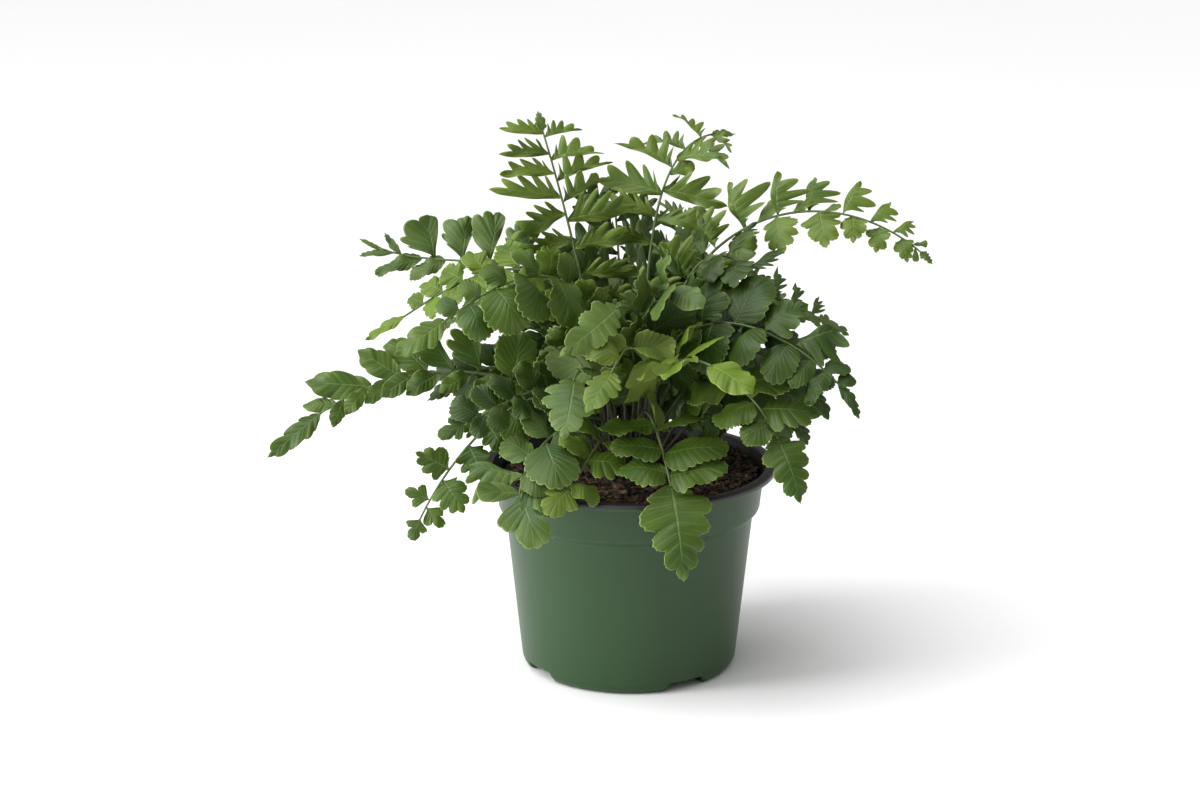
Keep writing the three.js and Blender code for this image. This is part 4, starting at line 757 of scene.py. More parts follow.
# Every frond: its name, where its stalk leaves the crown and the stalk's points at a third, two thirds and
# its tip, the way its upper side faces, its tone, its end leaf (kind, length, breadth), extra droop, and
# the leaflets on its right and left: share of the stalk, kind, length, lean towards the tip and breadth.
FRONDS = [
    ("left_broad", [(-10, -4), (-25, -22, 200), (-64, -50, 213), (-114, -70, 181)], (0, -1, 0.9), "mid",
     ("lance", 30, 1.2), 34,
     [(0.42, "round", 17, 10), (0.52, "round", 18, 14), (0.61, "round", 18, 18), (0.69, "round", 17, 20),
      (0.76, "round", 15, 24), (0.82, "round", 13, 30)],
     [(0.38, "round", 28, 0), (0.47, "round", 32, 0, 0.95), (0.56, "round", 34, 0, 0.95),
      (0.645, "round", 33, 0, 0.95), (0.725, "round", 30, 2, 0.95), (0.795, "round", 23, 10, 0.9)]),
    ("top_left", [(-6, 10), (-19, 15, 174), (-33, 26, 234), (-48, 42, 284)], (0.1, -1, 0.5), "fresh",
     ("plume", 11, 0.8), 0,
     [(0.46, "cut", 26, 0), (0.54, "cut", 30, -4), (0.615, "cut", 33, -2), (0.69, "cut", 35, 2, 1.25),
      (0.74, "arch", 28, 26), (0.8, "arch", 28, 18), (0.86, "arch", 26, 14), (0.925, "arch", 19, 12),
      (0.968, "arch", 12, 10)],
     [(0.48, "cut", 26, 0), (0.56, "cut", 30, 4), (0.635, "cut", 34, 4), (0.71, "cut", 31, -8, 1.3),
      (0.755, "cut", 36, 20), (0.82, "cut", 30, 20), (0.878, "cut", 28, 16), (0.935, "cut", 24, 26),
      (0.975, "cut", 15, 22)]),
    ("top_right", [(3, 10), (8, 18, 182), (19, 42, 247), (56, 76, 266)], (0, -0.6, 1), "fresh",
     ("plume", 15, 0.7), 0,
     [(0.46, "cut", 26, 0), (0.54, "cut", 30, 0), (0.62, "cut", 34, 4), (0.7, "cut", 34, 2, 1.3),
      (0.745, "tab", 14, 40, 1.3), (0.79, "arch", 31, 18, 1.1), (0.86, "arch", 24, 22),
      (0.92, "arch", 16, 24)],
     [(0.48, "cut", 28, 0), (0.56, "cut", 30, 4), (0.63, "cut", 34, 6), (0.69, "cut", 37, 6, 1.35),
      (0.765, "arch", 31, 16), (0.83, "arch", 24, 0), (0.89, "arch", 18, 8), (0.945, "arch", 12, 10)]),
    ("right_arch", [(10, 5), (33, 12, 205), (92, 5, 239), (153, -10, 215)], (0, -1, 0.75), "fresh",
     ("plume", 9, 0.8), 0,
     [(0.4, "oak", 26, -10), (0.48, "oak", 27, -20), (0.565, "oak", 25, -30, 1.25),
      (0.645, "oak", 23, -8, 1.05), (0.735, "oak", 21, 12, 1.1), (0.805, "oak", 17, 12, 1.0),
      (0.865, "oak", 15, 15, 1.0), (0.915, "oak", 13, 42, 0.9), (0.95, "tab", 7, 40)],
     [(0.42, "fingers", 24, 10), (0.5, "fingers", 24, 8), (0.575, "fingers", 26, 0, 1.3),
      (0.605, "tab", 13, 62, 1.2), (0.65, "fingers", 22, 0, 1.25), (0.68, "tab", 11, 62, 1.2),
      (0.715, "fingers", 21, 2, 1.2), (0.745, "tab", 9, 62), (0.785, "fingers", 19, 6, 1.15),
      (0.845, "fingers", 15, 12, 1.1), (0.895, "fingers", 12, 18), (0.94, "tab", 8, 50)]),
    ("right_broad", [(11, -6), (27, -25, 182), (74, -50, 186), (113, -72, 152)], (0, -0.9, 1), "deep",
     ("lance", 20, 0.8), 15,
     [(0.36, "round", 26, 0), (0.44, "round", 28, 0), (0.525, "round", 30, -5, 1.1),
      (0.635, "round", 27, 0, 0.85), (0.735, "round", 26, 4, 0.8), (0.805, "round", 21, 10, 0.62),
      (0.855, "oblong", 21, 18, 0.8), (0.9, "oblong", 15, 25, 0.8)],
     [(0.4, "round", 27, 10), (0.49, "oak", 30, 12), (0.58, "round", 30, 16), (0.665, "oak", 28, 18),
      (0.745, "fingers", 29, 30, 1.1), (0.79, "round", 19, 12), (0.845, "round", 15, 22),
      (0.89, "round", 11, 28)]),
    ("right_low", [(9, -10), (31, -28, 157), (58, -60, 160), (84, -91, 114)], (0.1, -1, 0.8), "mid",
     ("plume", 36, 0.9), 0,
     [(0.38, "round", 25, -14), (0.46, "round", 26, -26), (0.56, "round", 26, -40),
      (0.66, "round", 23, -10), (0.74, "round", 19, 6)],
     [(0.38, "round", 24, 10), (0.47, "round", 27, 20), (0.58, "round", 29, 34, 0.85),
      (0.69, "oak", 30, 32)]),
    ("front_right", [(2, -14), (8, -37, 145), (18, -73, 125), (28, -96, 76)], (0, -1, 0.6), "mid",
     ("plume", 49, 1.0), 0,
     [(0.44, "oblong", 27, -16, 1.2), (0.55, "oblong", 26, -14, 1.3), (0.635, "oblong", 24, -10, 1.3)],
     [(0.46, "oblong", 29, 8, 1.15), (0.57, "oblong", 32, 8, 1.25), (0.655, "oblong", 31, 4, 1.2)]),
    ("front_left", [(-8, -12), (-21, -33, 141), (-50, -64, 126), (-45, -94, 92)], (0, -1, 0.7), "pale",
     ("trefoil", 31, 1.15), 0,
     [(0.44, "round", 24, -10), (0.54, "round", 24, -10, 0.8), (0.64, "round", 23, -18, 0.85),
      (0.72, "fingers", 30, 4, 1.0), (0.78, "tab", 22, 12, 1.2)],
     [(0.46, "round", 24, 20), (0.56, "round", 29, 42, 1.0), (0.69, "round", 18, 20),
      (0.77, "oak", 24, 12)]),
    ("front_middle", [(-3, -14), (-9, -35, 136), (-25, -66, 122), (-42, -86, 106)], (0, -1, 0.8), "fresh",
     ("trefoil", 21, 1.15), 0,
     [(0.5, "round", 18, 0), (0.62, "round", 18, 0), (0.75, "round", 15, 10)],
     [(0.52, "round", 20, -10), (0.65, "oak", 22, -20, 1.15), (0.78, "round", 17, 14)]),
    ("left_lower", [(-14, -5), (-40, -12, 146), (-79, -28, 128), (-111, -42, 79)], (0, -1, 0.5), "mid",
     ("trefoil", 12, 1.15), 0,
     [(0.5, "oak", 22, 0), (0.585, "oak", 20, 0), (0.745, "oak", 19, 0), (0.86, "trefoil", 14, 4)],
     [(0.48, "round", 20, 10), (0.56, "oak", 19, 10), (0.65, "oak", 21, 20, 1.0),
      (0.785, "oak", 20, 18, 1.1), (0.885, "trefoil", 13, 20)]),
    ("left_mid", [(-11, -9), (-33, -27, 152), (-62, -44, 152), (-96, -54, 137)], (0, -1, 0.7), "deep",
     ("trefoil", 16, 0.9), 5,
     [(0.42, "round", 17, 0), (0.5, "round", 17, 4), (0.58, "round", 17, 6), (0.665, "round", 17, 10),
      (0.745, "round", 16, 15), (0.82, "round", 16, 30)],
     [(0.45, "round", 15, 6), (0.54, "round", 16, 12), (0.64, "round", 16, 20, 0.85),
      (0.725, "round", 15, 34, 0.85), (0.8, "round", 14, 40, 0.85)]),
    ("left_long", [(-13, 1), (-52, -7, 150), (-118, -16, 157), (-182, -34, 118)], (0, -1, 0.8), "mid",
     ("lance", 35, 0.85), 0,
     [(0.27, "round", 24, 0), (0.345, "round", 27, 4), (0.42, "fan", 28, 20), (0.49, "fan", 27, 30),
      (0.55, "round", 27, 36, 0.8), (0.615, "oval", 27, 46, 1.2), (0.69, "oval", 33, 64, 1.0),
      (0.785, "oval", 17, 66, 1.2)],
     [(0.3, "oval", 22, 30), (0.375, "oval", 20, 44), (0.445, "oval", 19, 54, 1.1),
      (0.52, "oval", 22, 56, 1.2), (0.585, "oval", 20, 58, 1.2), (0.645, "oval", 18, 58, 1.2),
      (0.705, "oval", 17, 58, 1.1), (0.765, "oval", 16, 48, 1.1)]),
    ("left_yellow", [(-10, 5), (-36, 9, 197), (-82, 8, 203), (-135, 2, 171)], (0, -0.6, 1), "bright",
     ("lance", 24, 0.75), 12,
     [(0.42, "crinkle", 19, 6), (0.51, "crinkle", 19, 12), (0.59, "crinkle", 19, 18),
      (0.66, "crinkle", 18, 24), (0.72, "crinkle", 17, 28), (0.775, "crinkle", 15, 30),
      (0.83, "crinkle", 12, 34)],
     [(0.44, "crinkle", 19, 10), (0.53, "crinkle", 19, 18), (0.605, "crinkle", 19, 24),
      (0.675, "crinkle", 18, 30), (0.74, "crinkle", 17, 32), (0.795, "crinkle", 15, 36)]),
    ("left_top", [(-12, 7), (-34, 22, 192), (-80, 36, 206), (-142, 46, 215)], (0, -1, 0.6), "blue",
     ("lance", 14, 0.5), 0,
     [(0.42, "fan", 22, 0), (0.51, "fan", 24, 0), (0.585, "fan", 25, 0), (0.66, "fan", 26, -8, 0.95),
      (0.73, "fan", 24, -6, 1.1), (0.8, "fan", 24, 12, 1.35), (0.885, "lance", 15, 50, 0.7)],
     [(0.45, "round", 20, 20), (0.54, "oblong", 21, 30), (0.62, "oblong", 21, 45),
      (0.695, "tab", 9, 70, 1.2), (0.77, "oblong", 23, 60, 0.8), (0.83, "oblong", 27, 70, 0.6),
      (0.9, "lance", 20, 74, 0.5)]),
    ("right_front", [(8, -7), (14, -38, 160), (30, -75, 182), (58, -106, 173)], (0.1, -1, 1.3), "bright",
     ("oval", 30, 1.45), 10,
     [(0.36, "round", 24, -10), (0.45, "oak", 26, -10, 0.9), (0.54, "round", 28, -4, 0.95),
      (0.63, "oak", 27, 0), (0.72, "round", 22, 10)],
     [(0.4, "round", 24, 0), (0.49, "oak", 26, 6, 0.9), (0.58, "round", 26, 10, 0.9),
      (0.67, "round", 22, 16)]),
    ("middle_droop", [(2, -6), (9, -28, 176), (-5, -52, 203), (-33, -80, 183)], (0.1, -1, 0.9), "pale",
     ("plume", 44, 0.66), 10,
     [(0.36, "round", 26, 0), (0.44, "round", 28, 4), (0.53, "round", 30, 10), (0.62, "round", 24, 16)],
     [(0.38, "oak", 24, 4), (0.47, "round", 26, 8), (0.56, "oak", 24, 14)]),
    ("middle_front", [(0, -8), (2, -40, 170), (-4, -66, 183), (-20, -98, 161)], (0, -1, 1), "fresh",
     ("lance", 28, 1.4), 10,
     [(0.4, "round", 24, 0), (0.48, "round", 26, 6), (0.57, "oblong", 30, 12, 1.3),
      (0.66, "round", 25, 16), (0.74, "round", 19, 20)],
     [(0.42, "round", 24, 0), (0.5, "round", 26, 4), (0.59, "round", 28, 2), (0.68, "round", 23, 12)]),
    ("left_front", [(-6, -6), (-14, -34, 158), (-26, -62, 172), (-31, -90, 146)], (-0.15, -1, 1), "pale",
     ("plume", 34, 1.15), 10,
     [(0.36, "round", 26, 0), (0.45, "round", 28, 0), (0.54, "round", 30, -8), (0.64, "round", 26, 6)],
     [(0.38, "round", 23, 0), (0.47, "round", 26, 4), (0.57, "round", 26, 8), (0.67, "round", 20, 20)]),
    ("middle_back", [(-1, 5), (-4, 22, 178), (-6, 44, 215), (-9, 62, 250)], (0, -1, 0.5), "deep",
     ("plume", 14, 0.9), 0, *even_pair("fingers", 7, 33, 0.36, 0.3)),
    ("back_rise", [(0, 8), (14, 30, 187), (26, 56, 218), (42, 84, 226)], (0, -0.8, 1), "mid",
     ("plume", 18, 0.8), 0, even("oak", 6, 28, 0.4, 0.3), even("cut", 7, 28, 0.4, 0.3, 0.5)),
    ("right_inner", [(8, 1), (24, 4, 190), (45, -8, 219), (76, -28, 200)], (0, -1, 0.9), "deep",
     ("plume", 18, 0.8), 0, even("oak", 6, 27, 0.4, 0.25), even("cut", 6, 28, 0.4, 0.25, 0.5)),
    ("middle_rise", [(4, -4), (7, -19, 174), (16, -36, 206), (36, -60, 204)], (0, -1, 1), "pale",
     ("oval", 24, 1.4), 10, even("round", 5, 26, 0.4, 0.2), even("oak", 5, 27, 0.4, 0.2, 0.5)),
    ("right_middle", [(11, -3), (30, -15, 168), (66, -27, 174), (101, -38, 142)], (0, -1, 0.9), "deep",
     ("lance", 22, 1.1), 10, *even_pair("round", 7, 23, 0.36, 0.3)),
    ("right_under", [(13, -1), (33, -6, 142), (60, -16, 154), (92, -22, 124)], (0, -1, 0.8), "deep",
     ("lance", 20, 1.1), 0, *even_pair("round", 7, 23, 0.36, 0.3)),
    ("left_under", [(-16, 0), (-38, 3, 148), (-70, 2, 158), (-104, -2, 140)], (0, -0.7, 1), "deep",
     ("lance", 20, 1.1), 0, *even_pair("round", 7, 23, 0.36, 0.3)),
    ("left_behind", [(-8, 13), (-32, 36, 180), (-66, 68, 182), (-110, 96, 150)], (0, -0.3, 1), "mid",
     ("plume", 24, 0.8), 0, even("round", 7, 26, 0.4, 0.4), even("oak", 7, 26, 0.4, 0.4, 0.5)),
    ("right_behind", [(10, 9), (34, 28, 184), (74, 46, 186), (118, 62, 160)], (0, -0.5, 1), "mid",
     ("plume", 22, 0.8), 0, even("oak", 7, 26, 0.4, 0.4), even("cut", 7, 28, 0.4, 0.4, 0.5)),
    ("back_left", [(-3, 14), (-10, 44, 182), (-26, 92, 184), (-44, 136, 146)], (0, 0, 1), "mid",
     ("plume", 26, 0.8), 0, *even_pair("round", 7, 27, 0.38, 0.4)),
    ("back_right", [(5, 14), (20, 42, 174), (46, 84, 176), (72, 124, 138)], (0, 0, 1), "deep",
     ("plume", 26, 0.8), 0, *even_pair("round", 7, 27, 0.38, 0.4)),
    ("back_low", [(1, 15), (2, 40, 150), (4, 74, 148), (6, 108, 106)], (0, 0.3, 1), "mid",
     ("plume", 26, 0.8), 0, *even_pair("round", 6, 25, 0.4, 0.35)),
    ("back_low_left", [(-12, 10), (-34, 30, 150), (-62, 56, 146), (-88, 84, 108)], (0, 0.2, 1), "deep",
     ("plume", 24, 0.8), 0, even("round", 6, 24, 0.4, 0.35), even("oak", 6, 24, 0.4, 0.35, 0.5)),
    ("back_low_right", [(13, 6), (36, 26, 148), (68, 50, 146), (98, 70, 108)], (0, 0.2, 1), "mid",
     ("plume", 24, 0.8), 0, even("round", 6, 24, 0.4, 0.35), even("oak", 6, 24, 0.4, 0.35, 0.5)),
    ("inner_left", [(-9, 8), (-22, 20, 146), (-44, 36, 166), (-72, 52, 156)], (0, -0.6, 1), "deep",
     ("plume", 20, 0.9), 0, *even_pair("round", 7, 24, 0.3, 0.3)),
    ("inner_right", [(9, 12), (20, 22, 144), (42, 38, 164), (70, 52, 152)], (0, -0.6, 1), "deep",
     ("plume", 20, 0.9), 0, *even_pair("round", 7, 24, 0.3, 0.3)),
    ("inner_back", [(-4, 1), (2, 30, 144), (8, 50, 172), (14, 72, 176)], (0, -1, 0.6), "deep",
     ("plume", 18, 0.9), 0, *even_pair("round", 7, 26, 0.28, 0.2)),
    ("inner_rise_left", [(-5, 7), (-12, 16, 158), (-26, 30, 192), (-48, 44, 204)], (0, -1, 0.7), "deep",
     ("plume", 16, 0.9), 0, even("round", 7, 25, 0.34, 0.3), even("cut", 7, 28, 0.34, 0.3, 0.5)),
    ("inner_rise_right", [(6, 11), (12, 20, 158), (27, 34, 190), (50, 48, 198)], (0, -1, 0.7), "deep",
     ("plume", 16, 0.9), 0, even("oak", 7, 25, 0.34, 0.3), even("round", 7, 25, 0.34, 0.3, 0.5)),
    ("low_left", [(-13, 4), (-28, 8, 126), (-50, 14, 140), (-76, 18, 124)], (0, -0.5, 1), "deep",
     ("plume", 16, 0.9), 0, *even_pair("round", 6, 20, 0.34, 0.3)),
    ("low_right", [(12, 3), (28, 9, 122), (50, 17, 134), (76, 23, 117)], (0, -0.5, 1), "deep",
     ("plume", 16, 0.9), 0, *even_pair("round", 6, 20, 0.34, 0.3)),
    ("low_back", [(-6, 15), (-5, 26, 122), (-4, 42, 136), (-2, 58, 138)], (0, -1, 0.4), "deep",
     ("plume", 18, 1.2), 0, *even_pair("round", 7, 26, 0.2, 0.2)),
]

STALK_START = 104.1
STALK_SUNK = 3.0
STALK_SIDES = 8
STALK_RINGS = 56
STALK_RADII = (1.15, 0.46)
STALK_TAPER = 0.8


def stalk_line(path):
    """The stalk's curve, as closely spaced points and how far along it each one lies."""
    start, third, two_thirds, tip = (np.array(p, float) for p in path)
    first = (-5 * start + 18 * third - 9 * two_thirds + 2 * tip) / 6
    second = (2 * start - 9 * third + 18 * two_thirds - 5 * tip) / 6
    t = np.linspace(0, 1, 241)[:, None]
    line = (1 - t) ** 3 * start + 3 * (1 - t) ** 2 * t * first + 3 * (1 - t) * t**2 * second + t**3 * tip
    run = np.concatenate([[0], np.cumsum(np.linalg.norm(np.diff(line, axis=0), axis=1))])
    return line, run


def unit(v):
    return v / np.linalg.norm(v)


def stalk_place(line, run, share, face):
    """A place on the stalk, by its share of the length: the point there, and the ways along the stalk, up
    from its upper side and to its right."""

    def point_at(distance):
        return np.array([np.interp(distance, run, line[:, k]) for k in range(3)])

    at = share * run[-1]
    along = unit(point_at(min(at + 1.5, run[-1])) - point_at(max(at - 1.5, 0)))
    upper = unit(face - along * face.dot(along))
    return point_at(at), along, upper, np.cross(along, upper)


def stalk_tube(line, run, face, end_share, radii):
    """The stalk as a tapering round rod with closed ends, and its map: share of its length, way round."""
    shares = np.linspace(0, end_share, STALK_RINGS)
    turns = np.linspace(0, 2 * np.pi, STALK_SIDES, endpoint=False)
    rings = []
    for share in shares:
        point, along, upper, right = stalk_place(line, run, share, face)
        thick = radii[0] + (radii[1] - radii[0]) * share**STALK_TAPER
        if share == 0:
            point = point - along * STALK_SUNK
        rings.append(point + thick * (np.cos(turns)[:, None] * right + np.sin(turns)[:, None] * upper))
    faces = [list(reversed(face)) for face in ring_faces(STALK_RINGS, STALK_SIDES)]
    corners = []
    for low, high in zip(shares, shares[1:]):
        for side in range(STALK_SIDES):
            near, far = side / STALK_SIDES, (side + 1) / STALK_SIDES
            corners += [(high, near), (high, far), (low, far), (low, near)]
    last_ring = STALK_SIDES * (STALK_RINGS - 1)
    faces += [list(range(STALK_SIDES)), list(range(last_ring + STALK_SIDES - 1, last_ring - 1, -1))]
    corners += [(0.0, 0.0)] * STALK_SIDES + [(1.0, 0.0)] * STALK_SIDES
    return np.concatenate(rings), faces, corners, np.repeat(shares, STALK_SIDES)


LEAF_THICKNESS = 0.3
ACROSS = np.array([-1, -0.955, -0.68, -0.34, 0, 0.34, 0.68, 0.955, 1])  # a blade's columns, edge to edge
FEWEST_ROWS = 16
ROWS_PER_MM = 0.75
LENGTH_COUNTED = 36
ROW_GAP = 0.008


def edge_at(points, shares):
    """A smooth line through the points, read at shares of its length."""
    knots = np.array(points, float)
    ends = np.vstack([2 * knots[0] - knots[1], knots, 2 * knots[-1] - knots[-2]])
    t = np.linspace(0, 1, 20, endpoint=False)[:, None]
    line = []
    for a, b, c, d in zip(ends, ends[1:], ends[2:], ends[3:]):
        square = 2 * a - 5 * b + 4 * c - d
        cube = 3 * b - a - 3 * c + d
        line.append(0.5 * (2 * b + (c - a) * t + square * t**2 + cube * t**3))
    line = np.vstack([*line, knots[-1:]])
    run = np.concatenate([[0], np.cumsum(np.linalg.norm(np.diff(line, axis=0), axis=1))])
    return np.column_stack([np.interp(shares * run[-1], run, line[:, k]) for k in (0, 1)])


def leaf_rows(kind, length, uneven):
    """Where the rows of a blade lie from its foot to its tip, with one in every notch of its edges."""
    count = FEWEST_ROWS + int(min(length, LENGTH_COUNTED) * ROWS_PER_MM)
    shares = set(np.linspace(0, 1, count).round(4))
    fine = np.linspace(0, 1, 201)
    for lobes in {*kind["lobes"], kind["teeth"]}:
        if lobes:
            shares |= set(np.interp(np.arange(1, lobes + 1) / (lobes + 0.5), uneven(fine), fine).round(4))
    kept = []
    for share in sorted(shares):
        if not kept or share - kept[-1] > ROW_GAP:
            kept.append(share)
    kept[-1] = 1.0
    return np.array(kept)


def bent_down(x, y, z, length, droop):
    """A flat blade bent down along its length: its upper and lower points."""
    reach = np.linspace(0, 1.2, 61)
    turn = math.radians(droop) * (0.4 * reach + 0.6 * eased(np.clip((reach - 0.25) / 0.7, 0, 1)))
    step = length * reach[1]
    ahead = np.concatenate([[0], np.cumsum(np.cos(turn[1:]) * step)])
    down = np.concatenate([[0], np.cumsum(np.sin(turn[1:]) * step)])
    at = np.clip(x / length, 0, reach[-1])
    turned = np.interp(at, reach, turn)
    thick = LEAF_THICKNESS * np.sqrt(1 - ACROSS**2)
    layers = []
    for height in (z + thick / 2, z - thick / 2):
        along = np.interp(at, reach, ahead) + np.minimum(x, 0) + height * np.sin(turned)
        layers.append(np.stack([along, y, height * np.cos(turned) - np.interp(at, reach, down)], -1))
    return layers


def leaf_blade(kind, length, breadth, droop, cup, ruffle, chance):
    """A blade laid along X: its upper and lower points by row and column, and where its rows lie. Cup is
    how far its edges fall and ruffle how much they ripple."""
    skew = chance.uniform(0.2, 0.6) * (1 - kind["cut"])
    shift = chance.uniform(0, 6.28)

    def uneven(share):
        return share + skew * (np.sin(2 * np.pi * share + shift) - math.sin(shift)) / (2 * np.pi)

    rows = leaf_rows(kind, length, uneven)
    rib = np.column_stack([kind["rib"] * rows ** kind["fan"], np.zeros(len(rows))])
    grid = np.zeros((len(rows), len(ACROSS), 2))
    quilt = np.zeros((len(rows), len(ACROSS)))
    for side, lobes, columns in zip(("lower", "upper"), kind["lobes"], (ACROSS < 0, ACROSS > 0)):
        edge = edge_at(kind[side], rows)
        edge[:, 1] *= breadth
        swell = np.ones(len(rows))
        if lobes:
            swell = np.abs(np.sin(np.pi * (lobes + 0.5) * uneven(rows))) ** kind["full"]
        notch = np.ones(len(rows))
        if kind["teeth"]:
            notch = np.abs(np.sin(np.pi * (kind["teeth"] + 0.5) * uneven(rows))) ** 0.6
        reach = 1 - kind["cut"] * (1 - swell) * chance.uniform(0.85, 1.15)
        reach *= 1 - kind["tooth"] * (1 - notch)
        reach *= 1 + 0.07 * np.sin(rows * 7 + chance.uniform(0, 6)) * np.sin(np.pi * rows)
        span = (edge - rib) * reach[:, None]
        out = np.abs(ACROSS[columns])
        grid[:, columns] = rib[:, None] + span[:, None] * out[None, :, None]
        if lobes:
            quilt[:, columns] = (swell - 0.5)[:, None] * out * (1 - out * 0.5) * 0.06
    grid[:, len(ACROSS) // 2] = rib
    x, y = grid[..., 0] * length, grid[..., 1] * length
    z = quilt * length - cup * y**2 / (length * max(breadth, 0.6))
    ripple, wave = chance.uniform(8, 14), chance.uniform(0, 6.28)
    z += ruffle * length * 0.04 * np.sin(x / length * ripple + wave) * np.sign(y) * ACROSS**2
    z += ruffle * length * 0.03 * np.sin(x / length * 5 + 2 * wave) * np.cos(y / length * 7 + wave)
    top, low = bent_down(x, y - kind["sickle"] * x**2 / length, z, length, droop)
    return top, low, rows


def sheet_faces(numbers):
    """The faces of a sheet, from its vertex numbers by row and column."""
    corners = [numbers[:-1, :-1], numbers[:-1, 1:], numbers[1:, 1:], numbers[1:, :-1]]
    return np.stack(corners, -1).reshape(-1, 4)


def close_blade(rows, columns):
    """The faces of a blade's upper and lower side, which share their edges, and of its foot."""
    middle = columns // 2
    top = np.arange(rows * columns).reshape(rows, columns)
    top[-1, :middle] = top[-1, : middle : -1]
    low = top.copy()
    low[:, 1:-1] = rows * columns + np.arange(rows * (columns - 2)).reshape(rows, columns - 2)
    low[-1, 1:middle] = low[-1, -2 : middle : -1]
    low[-1, 0] = top[-1, 0]
    foot = [*top[0].tolist(), *low[0, -2:0:-1].tolist()]
    return sheet_faces(top)[:, [0, 3, 2, 1]], sheet_faces(low), foot


LEAF_FINISH, STALK_FINISH = 0, 1  # a frond's materials, in their order


class Frond:
    """A frond's points, faces, vein map, tints and ages, gathered piece by piece. Age is 0 at its foot and
    1 at its tip."""

    def __init__(self):
        self.points = []
        self.count = 0
        self.faces = []
        self.corners = []
        self.finishes = []
        self.tints = []
        self.ages = []

    def add(self, points, faces, corners, finish, tint, age):
        self.points.append(points)
        for face in faces:
            self.faces.append([self.count + v for v in face])
        self.corners += corners
        self.finishes += [finish] * len(faces)
        self.tints.append(np.full(len(points), tint))
        self.ages.append(age + np.zeros(len(points)))
        self.count += len(points)

    def add_blade(self, top, low, rows, veins, mirrored, tint, age):
        """Along the blade its map counts the veins. Across, it runs from 0 at the midrib to 1 at the edges
        of the upper side, and to -1 at those of the underside."""
        upper, lower, foot = close_blade(len(rows), len(ACROSS))
        points = np.concatenate([top.reshape(-1, 3), low[:, 1:-1].reshape(-1, 3)])
        across = np.abs(ACROSS)
        vein = (rows * (veins + 0.5))[:, None] + 0 * across
        u = np.concatenate([vein.reshape(-1), vein[:, 1:-1].reshape(-1)])
        v = np.concatenate([np.tile(across, len(rows)), np.tile(across[1:-1], len(rows))])
        faces, corners = [], []
        for side, sheet in ((1, upper), (-1, lower)):
            order = sheet[:, ::-1] if mirrored else sheet
            faces += order.tolist()
            flat = order.reshape(-1)
            corners += np.column_stack([u[flat], v[flat] * side]).tolist()
        faces.append(foot[::-1] if mirrored else foot)
        corners += [(0.0, 0.0)] * len(foot)
        self.add(points, faces, corners, LEAF_FINISH, tint, age)


class Clearance:
    """What the leaflets have to avoid, as small trees with their boxes."""

    def __init__(self):
        self.lows = []
        self.highs = []
        self.trees = []
        self.owners = []

    def keep(self, owner, points, faces):
        self.lows.append(points.min(0))
        self.highs.append(points.max(0))
        self.trees.append(BVHTree.FromPolygons(points.tolist(), faces, epsilon=0.0))
        self.owners.append(owner)

    def meets(self, points, faces, owner):
        """How many faces touch what is already there, apart from the owner's own stalk."""
        low, high = points.min(0) - 0.2, points.max(0) + 0.2
        near = np.all((np.array(self.lows) <= high) & (np.array(self.highs) >= low), axis=1)
        tree = None
        touches = 0
        for index in np.flatnonzero(near):
            if self.owners[index] == owner:
                continue
            tree = tree or BVHTree.FromPolygons(points.tolist(), faces, epsilon=0.0)
            touches += len(tree.overlap(self.trees[index]))
        return touches


TRIED_TURNS = [(turn, spin) for turn in (0, 10, -10, 20, -20, 32, -32, 46, -46) for spin in (0, 14, -14)]
TRIED_SIZES = (1.0, 0.85, 0.7, 0.55)
LEAFLET_FOOT = 0.4
LEAFLET_LIFT = 8.0
LEAFLET_TWIST = 16.0

# The room that the pot and its mix take up, in plain rings.
POT_SECTION = [(56, 6), (66, 85), (70.5, 104.4), (76.4, 104.4), (76.4, 108), (70.5, 108), (66, 88), (0.1, 99)]
POT_ROOM_TURNS = 40
space = Clearance()
pot_room = turned_grid(np.array(POT_SECTION, float), POT_ROOM_TURNS)
space.keep("pot", pot_room.reshape(-1, 3), ring_faces(len(pot_room), POT_ROOM_TURNS))


def lay(local, point, out, ahead, sign):
    """A blade's points moved to their place on the frond."""
    normal = sign * np.cross(out, ahead)
    return point + local[..., 0:1] * out + local[..., 1:2] * ahead + local[..., 2:3] * normal


def turned_about(vector, axis, degrees):
    return np.array(Matrix.Rotation(math.radians(degrees), 3, Vector(axis)) @ Vector(vector))


def coarse(top):
    """A blade's upper side thinned out, for the clearance test."""
    rows = np.unique(np.linspace(0, len(top) - 1, 9).round().astype(int))[1:]
    thin = top[rows, ::2]
    numbers = np.arange(thin.shape[0] * thin.shape[1]).reshape(thin.shape[:2])
    return thin.reshape(-1, 3), sheet_faces(numbers).tolist()


